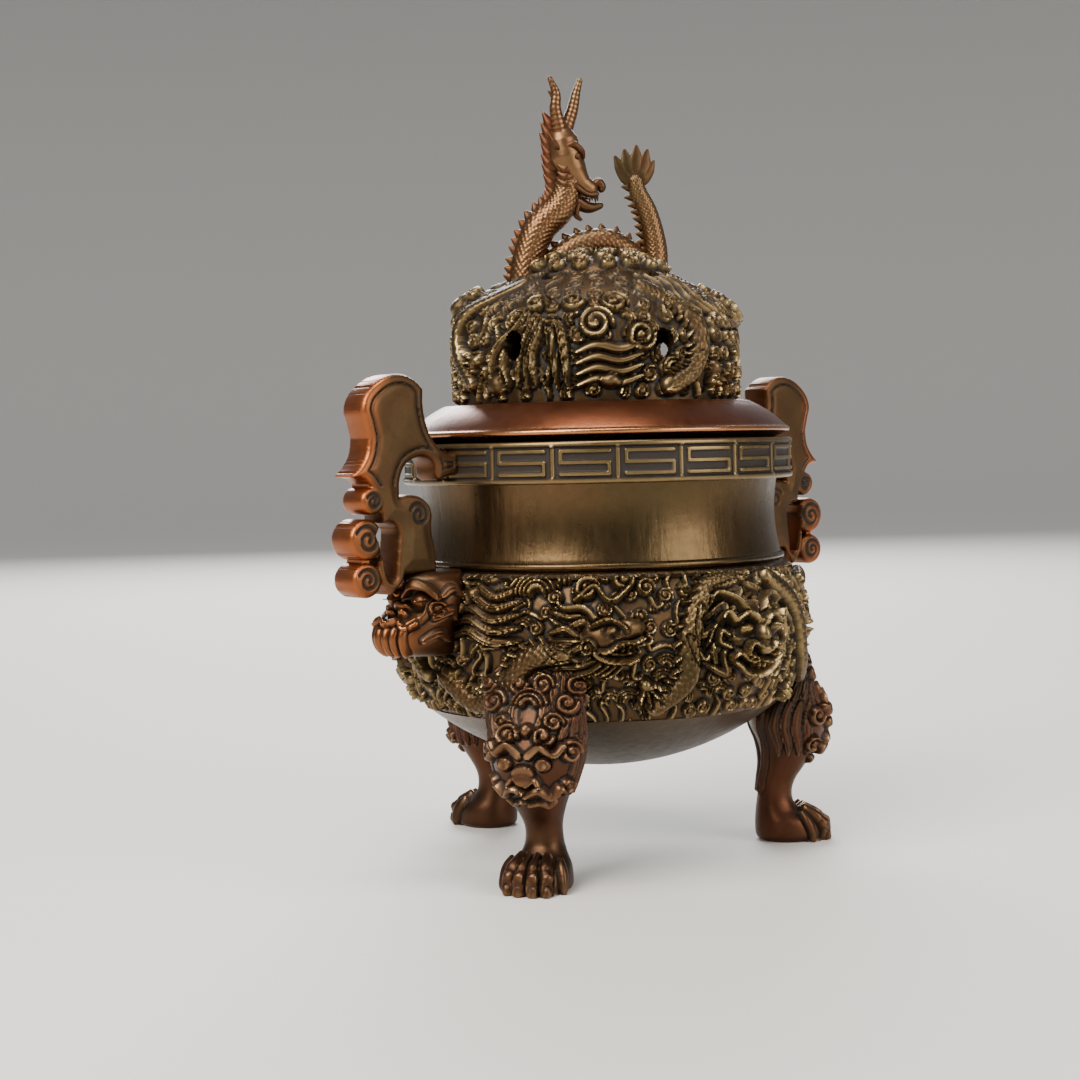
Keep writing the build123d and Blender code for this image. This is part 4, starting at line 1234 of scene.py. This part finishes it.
def signed_outline(x, y, line):
    """The same distance, negative inside: a point is inside where a level ray crosses the line oddly."""
    inside = np.zeros(x.shape, bool)
    for (x0, y0), (x1, y1) in zip(line, np.roll(line, -1, 0)):
        if y0 != y1:
            crosses = (y0 > y) != (y1 > y)
            inside ^= crosses & (x < x0 + (y - y0) * (x1 - x0) / (y1 - y0))
    return line_distance(x, y, line, closed=True) * np.where(inside, -1, 1)


def handle_distance(x, z):
    """Plate and scrolls together, less the keyhole: the least of the shapes and the most with the hole."""
    d = signed_outline(x, z, handle_outline)
    for cx, cz, radius in scrolls:
        other = np.hypot(x - cx, z - cz) - radius
        soft = np.clip(0.5 + 0.5 * (other - d) / 0.5, 0, 1)
        d = other * (1 - soft) + d * soft - 0.5 * soft * (1 - soft)
    drop = np.array([(40.3, 49.2), (40.15, 46.5), (39.9, 43.6)])
    along = np.clip((49.2 - z) / 5.6, 0, 1)
    hole = line_distance(x, z, drop) - (1.8 - 1.0 * along)
    return np.maximum(d, -hole)


# %% Handle plates
cell = 0.17
handle_x, handle_z = np.meshgrid(np.arange(27.6, 47.2, cell), np.arange(40.2, 71.9, cell))
distance = handle_distance(handle_x, handle_z)
nudge = 0.02
slope_x = (handle_distance(handle_x + nudge, handle_z) - distance) / nudge
slope_z = (handle_distance(handle_x, handle_z + nudge) - distance) / nudge
inside = distance < 0.5 * cell
solid = inside[:-1, :-1] & inside[1:, :-1] & inside[:-1, 1:] & inside[1:, 1:]
rim_point = inside & (distance > -0.75 * cell)
handle_x = handle_x - np.where(rim_point, distance * slope_x, 0)
handle_z = handle_z - np.where(rim_point, distance * slope_z, 0)
depth_in = np.where(rim_point, 0.0, -distance)
arris = 0.75
round_off = arris * (1 - np.sqrt(np.clip(1 - (1 - np.clip(depth_in / arris, 0, 1)) ** 2, 0, 1)))
groove = np.full(distance.shape, 9.0)
for cx, cz, radius in scrolls:
    t = np.linspace(0, 1, 60)
    winding = 0.5 + 3.2 * np.pi * t
    r = (radius - 0.75) * (1 - 0.86 * t)
    curl = np.stack([cx + r * np.cos(winding), cz + r * np.sin(winding)], axis=-1)
    groove = np.minimum(groove, line_distance(handle_x, handle_z, curl))
inner_line = np.abs(depth_in - 1.25) + 2.0 * (handle_z < 56)
groove = np.minimum(groove, inner_line + 0.12)
groove_depth = 0.34
cut = groove_depth * (1 - fade(groove, 0.1, 0.34))
hump = 0.25 * fade(depth_in, 0.5, 2.2)
half = handle_half - 0.25 + hump - round_off - cut
uneven = 0.05 * np.sin(0.9 * handle_x + 0.5) * np.sin(0.7 * handle_z)
front = np.stack([handle_x, -half - uneven, handle_z], axis=-1)
back = np.stack([handle_x, half + uneven, handle_z], axis=-1)
grip_z, grip_x = [40, 44, 50, 57, 62, 68, 71], [43, 43.4, 43.6, 43.2, 42.0, 42.2, 40]
outer_edge = fade(handle_x - np.interp(handle_z, grip_z, grip_x), -1.2, 1.0)
rubbed_arris = 0.9 * (1 - fade(depth_in, 0.05, 0.75)) * (0.3 + 0.7 * outer_edge)
bare = np.clip(rubbed_arris + 0.5 * outer_edge, 0, 1)
cut_share = cut / groove_depth
handle_marks = {"worn": bare * (1 - cut_share), "deep": np.clip(cut_share, 0, 1) * 0.9}
for name, turn in (("right", 1), ("left", -1)):
    spin = (turn, turn, 1)
    piece = double_sheet(f"scroll_{name}", front * spin, back * spin, solid, handle_marks, sharp_deg=60)
    finished(piece, "vessel", handle_bronze, "bronze", f"handle_{name}")

# %% [markdown]
# ## The dragon
# The knob is a dragon drawn in one upright plane: its neck loops up to a long head with horns, its back
# arches over the crown, and its tail stands up behind with a fan at the end. Each limb is a tube, a ring
# of points carried along a smooth line. Scales are half discs in a staggered lattice, and every spine,
# horn and tooth is a small pointed tube.

# %% Tubes
dragon_turn = math.radians(-30)
dragon_along = np.array([math.cos(dragon_turn), math.sin(dragon_turn), 0.0])
dragon_side = np.array([-math.sin(dragon_turn), math.cos(dragon_turn), 0.0])


def in_plane(points):
    """Points (along, height) or (along, height, side) of the dragon's plane, in space."""
    p = np.array([tuple(point) + (0,) * (3 - len(point)) for point in points], float)
    return p[:, :1] * dragon_along + p[:, 2:3] * dragon_side + p[:, 1:2] * (0, 0, 1)


def tube(points, radii, rows=60, columns=28, flat=1.0, scales=0.0, ridges=0.0, pitch=0.85):
    """Rings round a smooth line, with round ends: middle + radius (cos a · side + flat · sin a · across).
    scales lifts overlapping half discs and ridges lifts rings, as on horns. Also the two marks."""
    line = smooth(in_plane(points), rows)
    step = np.concatenate([[0], np.cumsum(np.linalg.norm(np.diff(line, axis=0), axis=1))])
    along = np.gradient(line, axis=0)
    along /= np.linalg.norm(along, axis=1, keepdims=True)
    side = dragon_side - (along @ dragon_side)[:, None] * along
    side /= np.linalg.norm(side, axis=1, keepdims=True)
    across = np.cross(along, side)
    share = step / step[-1]
    radius = np.interp(share, np.linspace(0, 1, len(radii)), radii)
    from_end = np.minimum(step, step[-1] - step) / np.maximum(radius, 0.05)
    cap = np.sqrt(np.clip(1 - (1 - np.clip(from_end + 0.02, 0, 1)) ** 2, 0, 1))
    a = np.linspace(0, 2 * np.pi, columns, endpoint=False)
    lift = np.zeros((rows, columns))
    if scales:
        around = max(8, round(2 * np.pi * max(radii) / pitch))
        for shift in (0, 0.5):
            fa = (step[:, None] / pitch + shift) % 1
            fb = (a * around / (2 * np.pi) + shift) % 1 - 0.5
            disc = np.where(fa**2 + (1.7 * fb) ** 2 < 1, 0.35 + 0.65 * fa, 0)
            lift = np.maximum(lift, disc)
        lift = lift * scales
    lift = lift + ridges * np.abs(np.sin(step * np.pi / 0.7))[:, None]
    ring = (radius * cap)[:, None] + lift * cap[:, None]
    spots = line[:, None] + (ring * np.cos(a))[..., None] * side[:, None]
    spots = spots + (flat * ring * np.sin(a))[..., None] * across[:, None]
    high = lift / max(scales + ridges, 1e-6) if scales or ridges else np.full(lift.shape, 0.5)
    return spots, {"worn": np.clip(high * 1.5 - 0.85, 0, 1), "deep": np.clip(0.55 - high * 1.6, 0, 1)}


def joined(name, tubes):
    """One closed mesh from several tubes, each with a pole at both ends."""
    points, quads, triangles, worn, deep = [], [], [], [], []
    count = 0
    for spots, marks in tubes:
        p, q, t = capped(spots)
        points.append(p)
        quads.append(q + count)
        triangles.append(t + count)
        kept = capped_marks(marks)
        worn.append(kept["worn"])
        deep.append(kept["deep"])
        count += len(p)
    marks = {"worn": np.concatenate(worn), "deep": np.concatenate(deep)}
    return put_in(name, np.vstack(points), np.vstack(quads), np.vstack(triangles), marks)


def spines(line_points, radii, first, last, count, length, lean, side=1):
    """A comb of fins along a limb, rooted inside its surface on one side of it and leaning along it."""
    line = smooth(line_points, 80)
    ahead = np.gradient(line, axis=0)
    ahead /= np.linalg.norm(ahead, axis=1, keepdims=True)
    comb = []
    for k in np.linspace(first, last, count).astype(int):
        out = np.array([-ahead[k][1], ahead[k][0]]) * side
        thick = float(np.interp(k / 79, np.linspace(0, 1, len(radii)), radii))
        root, tip = line[k] + out * thick * 0.7, line[k] + out * (thick + length) + ahead[k] * lean
        bent = (root + tip) / 2 + ahead[k] * lean * 0.1
        girth = 0.24 + 0.16 * thick
        comb.append(tube([root, bent, tip], [girth, girth * 0.75, 0.06], rows=12, columns=12, flat=1.7))
    return comb


# %% Dragon
neck_line = [(-10.4, 81.6), (-10.3, 85.4), (-9.8, 89.0), (-8.0, 93.2), (-5.2, 95.9), (-3.9, 98.6)]
neck_line.append((-3.7, 101.5))
back_line = [(-9.2, 82.6), (-6.8, 86.6), (-2.8, 90.0), (2.2, 90.8), (6.0, 88.4), (8.6, 84.6)]
tail_line = [(8.2, 82.0), (9.2, 86.0), (9.5, 90.0), (8.5, 95.2), (6.9, 98.8), (6.5, 101.2)]
neck_radii = [2.7, 2.3, 2.1, 2.2, 2.2, 2.0, 1.9]
back_radii = [1.9, 2.1, 2.0, 2.0, 1.9, 1.8]
tail_radii = [1.9, 1.7, 1.5, 1.2, 1.0]
parts = [
    tube(neck_line, neck_radii, rows=210, columns=96, scales=0.3, pitch=1.0),
    tube(back_line, back_radii, rows=160, columns=84, scales=0.28, pitch=0.95),
    tube(tail_line, tail_radii, rows=170, columns=72, scales=0.24, pitch=0.8),
]
parts += spines(neck_line, neck_radii, 10, 70, 15, 1.2, 0.6)
parts += spines(back_line, back_radii, 8, 72, 14, 1.0, -0.5)
parts += spines(tail_line, tail_radii, 12, 76, 14, 1.2, 0.7)
joined_dragon = joined("dragon_body", parts)
finished(joined_dragon, "lid", dragon_bronze, "bronze", "dragon")

skull_line = [(-4.9, 108.6), (-4.4, 106.2), (-3.7, 103.4), (-2.5, 100.9), (-0.9, 99.2), (0.9, 98.7)]
skull = tube(skull_line, [1.3, 2.3, 2.6, 2.2, 1.5, 1.25], rows=90, columns=60)
skull[1]["worn"][:] = 0.35
jaw = [(-4.2, 99.4), (-2.6, 97.3), (-0.6, 96.2), (1.7, 96.6)]
nose = [(0.2, 99.3), (1.0, 99.9), (1.5, 99.2), (1.2, 98.4)]
parts = [skull, tube(jaw, [1.4, 1.15, 0.9, 0.45], rows=40)]
parts.append(tube(nose, [0.6, 0.7, 0.65, 0.4], rows=24, columns=18))
for side in (-1, 1):
    eye = [(-2.7, 103.6, side * 1.9), (-2.2, 103.2, side * 2.3)]
    parts.append(tube(eye, [0.7, 0.62], rows=14, columns=18))
    ridge = [(-4.6, 104.6, side * 1.8), (-3.2, 105.2, side * 2.2)]
    ridge += [(-1.9, 104.3, side * 1.9), (-1.4, 103.1, side * 1.2)]
    parts.append(tube(ridge, [0.3, 0.6, 0.55, 0.25], rows=26, columns=14))
    for fin in range(3):
        low = 101.6 - 1.1 * fin
        cheek = [(-3.0, low + 0.5, side * 1.1), (-4.2, low, side * 1.7), (-5.5, low + 0.8, side * 1.5)]
        parts.append(tube(cheek, [0.6, 0.62, 0.08], rows=20, columns=14, flat=1.3))
    ear = [(-4.6, 104.0, side * 1.0), (-5.8, 105.2, side * 1.9), (-6.8, 107.0, side * 1.9)]
    parts.append(tube(ear, [0.7, 0.7, 0.15], rows=20, columns=14, flat=0.6))
    muzzle = [(0.9, 98.1, side * 0.9), (-0.9, 98.0, side * 1.3)]
    muzzle += [(-2.6, 99.0, side * 1.7), (-4.2, 100.4, side * 1.6)]
    parts.append(tube(muzzle, [0.35, 0.45, 0.5, 0.25], rows=30, columns=14))
    for tooth in range(4):
        x = 0.6 - 0.85 * tooth
        gum = (x, 97.9 + 0.1 * tooth, side * (0.8 + 0.14 * tooth))
        fang = [gum, (x + 0.1, 97.0 + 0.1 * tooth, side * (0.75 + 0.12 * tooth))]
        parts.append(tube(fang, [0.26, 0.06], rows=8, columns=8))
    beard = [(-2.2, 96.9, side * 0.6), (-2.5, 95.2, side * 0.7), (-1.6, 94.2, side * 0.6)]
    parts.append(tube(beard, [0.5, 0.4, 0.08], rows=18, columns=12))
horns = [
    [(-4.6, 105.6, -0.5), (-4.9, 107.6, -0.8), (-5.5, 110.6, -1.1), (-5.4, 112.9, -1.2), (-6.4, 115.3, -1.3)],
    [(-4.2, 105.6, 0.5), (-3.7, 107.6, 0.8), (-2.5, 110.8, 1.1), (-1.9, 113.2, 1.2), (-1.1, 115.6, 1.3)],
]
for horn in horns:
    parts.append(tube(horn, [1.1, 1.05, 0.85, 0.65, 0.3], rows=64, columns=24, ridges=0.05))
parts.append(tube([(-5.5, 112.0, -1.1), (-6.6, 113.2, -1.3)], [0.5, 0.1], rows=12, columns=12))
for k in range(8):
    z = 98.2 + 1.42 * k
    x = -5.3 - 0.5 * math.sin(0.5 * k) - 0.35 * (k > 4)
    lock = [(x + 0.9, z - 0.6), (x - 0.4, z + 0.1), (x - 1.8, z + 1.5 + 0.1 * k)]
    parts.append(tube(lock, [0.85, 0.7, 0.1], rows=16, columns=14, flat=1.3))
head = joined("dragon_head", parts)
finished(head, "lid", dragon_bronze, "bronze", "dragon")

parts = []
root = (6.6, 99.8)
tips = [(3.5, 103.9), (5.0, 104.9), (6.9, 105.5), (8.6, 104.9), (9.6, 103.2)]
for tip, wide in zip(tips, (0.85, 0.95, 1.0, 0.95, 0.8)):
    middle = ((root[0] + tip[0]) / 2 + 0.3 * (tip[0] - 6.6) / 3, (root[1] + tip[1]) / 2 - 0.2)
    parts.append(tube([root, middle, tip], [0.42, 0.46, 0.3, 0.06], rows=50, columns=30, flat=3.4 * wide))
fan = joined("tail_fan", parts)
finished(fan, "lid", dragon_bronze, "bronze", "dragon")

# %% [markdown]
# ## The cloud pad
# Where the dragon leaves the dome, a low cushion of curls covers the joint. It is cast with the dragon and
# laid over the crown, so it is a cap with its own rows from the edge to the middle.

# %% Cloud pad
pad_radius = 11.2


def pad_place(u, v):
    """A low cushion over the crown: radius (1 - v), lifted to a rounded edge and a shallow dome."""
    r = pad_radius * (1 - v) + 0.02
    z = np.interp(r, curve_r[::-1], curve_z[::-1]) + 1.5 * np.sqrt(np.clip(1 - (1 - v) ** 6, 0, 1)) - 0.3
    return round_axis(r, u, z)


pad = Skin(pad_place, np.linspace(0, 360, 300, endpoint=False), np.linspace(0, 0.995, 70), wrap=True)
for share, count, radius in ((0.1, 17, 1.6), (0.32, 12, 1.7), (0.55, 8, 1.6), (0.78, 4, 1.5)):
    for k in range(count):
        u = 360 * (k + 3 * share) / count
        pad.spiral((u, share), radius, 1.0, turns=1.8, hand=(-1) ** k, start=40 * k, bite=0.3)
pad_marks = pad.marks(5)
pad_top = pad.surface()
under = pad.base[[0]] * (0.97, 0.97, 1) - [[[0, 0, 1.0]]]
middle_under = under * (0.05, 0.05, 1) + [[[0, 0, 3.0]]]
pad_grid = np.concatenate([middle_under, under, pad_top])
pad_marks = capped_marks({k: np.concatenate([v[[0, 0]], v]) for k, v in pad_marks.items()})
pad_piece = put_in("cloud_pad", *capped(pad_grid), pad_marks)
finished(pad_piece, "lid", bronze, "bronze", "dragon")

# %% [markdown]
# ## Rivets and pins
# Legs, masks, handles and dragon are held by short rivets and pins, hammered over. They are plain turned
# shapes that the frame already has right, so they stay as they are and only take their metal.

# %% Rivets and pins
for node in ("leg_rivets", "mask_rivets", "rim_pins", "dragon_rivet"):
    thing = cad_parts[node]
    thing.data.materials.clear()
    thing.data.materials.append(pin_bronze)
    print(node, "faces", len(thing.data.polygons))

# %% [markdown]
# ## Floor, light and camera
# The floor is a broad pale disc that rises gently at its far edge, so that its end is a soft one. Polished
# metal shows what is round it, so the light is four soft panels with darker gaps between them. The camera
# looks from the front left, a little below the lid, with a long lens.

# %% Floor
floor_rows, floor_columns = 40, 96
floor_r = np.linspace(0.5, 2600, floor_rows)
floor_a = np.linspace(0, 2 * np.pi, floor_columns, endpoint=False)
floor_z = -0.02 + 900 * fade(floor_r, 900, 2600) ** 2
floor_grid = np.stack(
    [
        floor_r[:, None] * np.cos(floor_a),
        floor_r[:, None] * np.sin(floor_a),
        np.repeat(floor_z[:, None], floor_columns, axis=1),
    ],
    axis=-1,
)
hub = np.stack([np.roll(np.arange(floor_columns), -1), np.arange(floor_columns)], axis=-1)
hub = np.hstack([hub, np.full((floor_columns, 1), floor_rows * floor_columns)])
floor_points = np.vstack([floor_grid.reshape(-1, 3), [[0, 0, floor_z[0]]]])
floor_quads = grid_quads(floor_rows, floor_columns, wrap_columns=True)
floor = put_in("floor", floor_points, floor_quads[:, ::-1], hub[:, ::-1])
pale = Finish("pale_floor")
paint = pale.node("ShaderNodeBsdfPrincipled", {}, {"Base Color": linear(206, 202, 196), "Roughness": 0.75})
end = pale.tree.nodes.new("ShaderNodeOutputMaterial")
pale.tree.links.new(paint.socket, end.inputs["Surface"])
floor.data.materials.append(pale.material)

# %% Light
world = bpy.data.worlds.new("studio")
world.use_nodes = True
world.node_tree.nodes["Background"].inputs[0].default_value = (0.60, 0.62, 0.66, 1)
world.node_tree.nodes["Background"].inputs[1].default_value = 0.5
bpy.context.scene.world = world


def panel(name, angle_deg, height, away, wide, tall, watts, colour):
    """A soft panel that faces the burner from an angle about Z."""
    light = bpy.data.lights.new(name, "AREA")
    light.shape, light.size, light.size_y = "RECTANGLE", wide, tall
    light.energy, light.color = watts, colour
    holder = bpy.data.objects.new(name, light)
    a = math.radians(angle_deg)
    spot = Vector((away * math.cos(a), away * math.sin(a), height))
    holder.location = spot
    holder.rotation_euler = (Vector((0, 0, 0.05)) - spot).to_track_quat("-Z", "Y").to_euler()
    bpy.context.scene.collection.objects.link(holder)


panel("key", 195, 0.55, 0.60, 0.40, 0.50, 10, (1.0, 0.96, 0.90))
panel("fill", 285, 0.30, 0.70, 0.45, 0.45, 4, (1.0, 0.97, 0.94))
panel("top", 228, 0.95, 0.15, 0.45, 0.35, 6, (1.0, 0.98, 0.96))
panel("rear", 55, 0.45, 0.70, 0.50, 0.40, 9, (0.94, 0.97, 1.0))

# %% Camera
camera_azimuth, camera_away, camera_height = math.radians(-41.5), 0.300, 0.06075
sensor_mm, lens_mm = 36, 36 * 2000 / 1080
aim_left, aim_down, roll = math.radians(1.7), math.radians(2.66), math.radians(1.28)
ahead = Vector((-math.sin(camera_azimuth), math.cos(camera_azimuth), 0))
beside = Vector((math.cos(camera_azimuth), math.sin(camera_azimuth), 0))
level_aim = ahead * math.cos(aim_left) - beside * math.sin(aim_left)
aim = level_aim * math.cos(aim_down) - Vector((0, 0, 1)) * math.sin(aim_down)
right = aim.cross(Vector((0, 0, 1))).normalized()
above = right.cross(aim)
turned_right = right * math.cos(roll) - above * math.sin(roll)
turned_up = above * math.cos(roll) + right * math.sin(roll)
lens = bpy.data.cameras.new("camera")
lens.sensor_width, lens.lens = sensor_mm, lens_mm
lens.clip_start = 0.01
camera = bpy.data.objects.new("camera", lens)
camera.matrix_world = Matrix((turned_right, turned_up, -aim)).transposed().to_4x4()
camera.location = Vector((0, 0, camera_height)) - ahead * camera_away
bpy.context.scene.collection.objects.link(camera)
bpy.context.scene.camera = camera

# %% [markdown]
# ## Last update
# The view layer is updated once more, so that every piece's place is current.

# %% Update
bpy.context.view_layer.update()
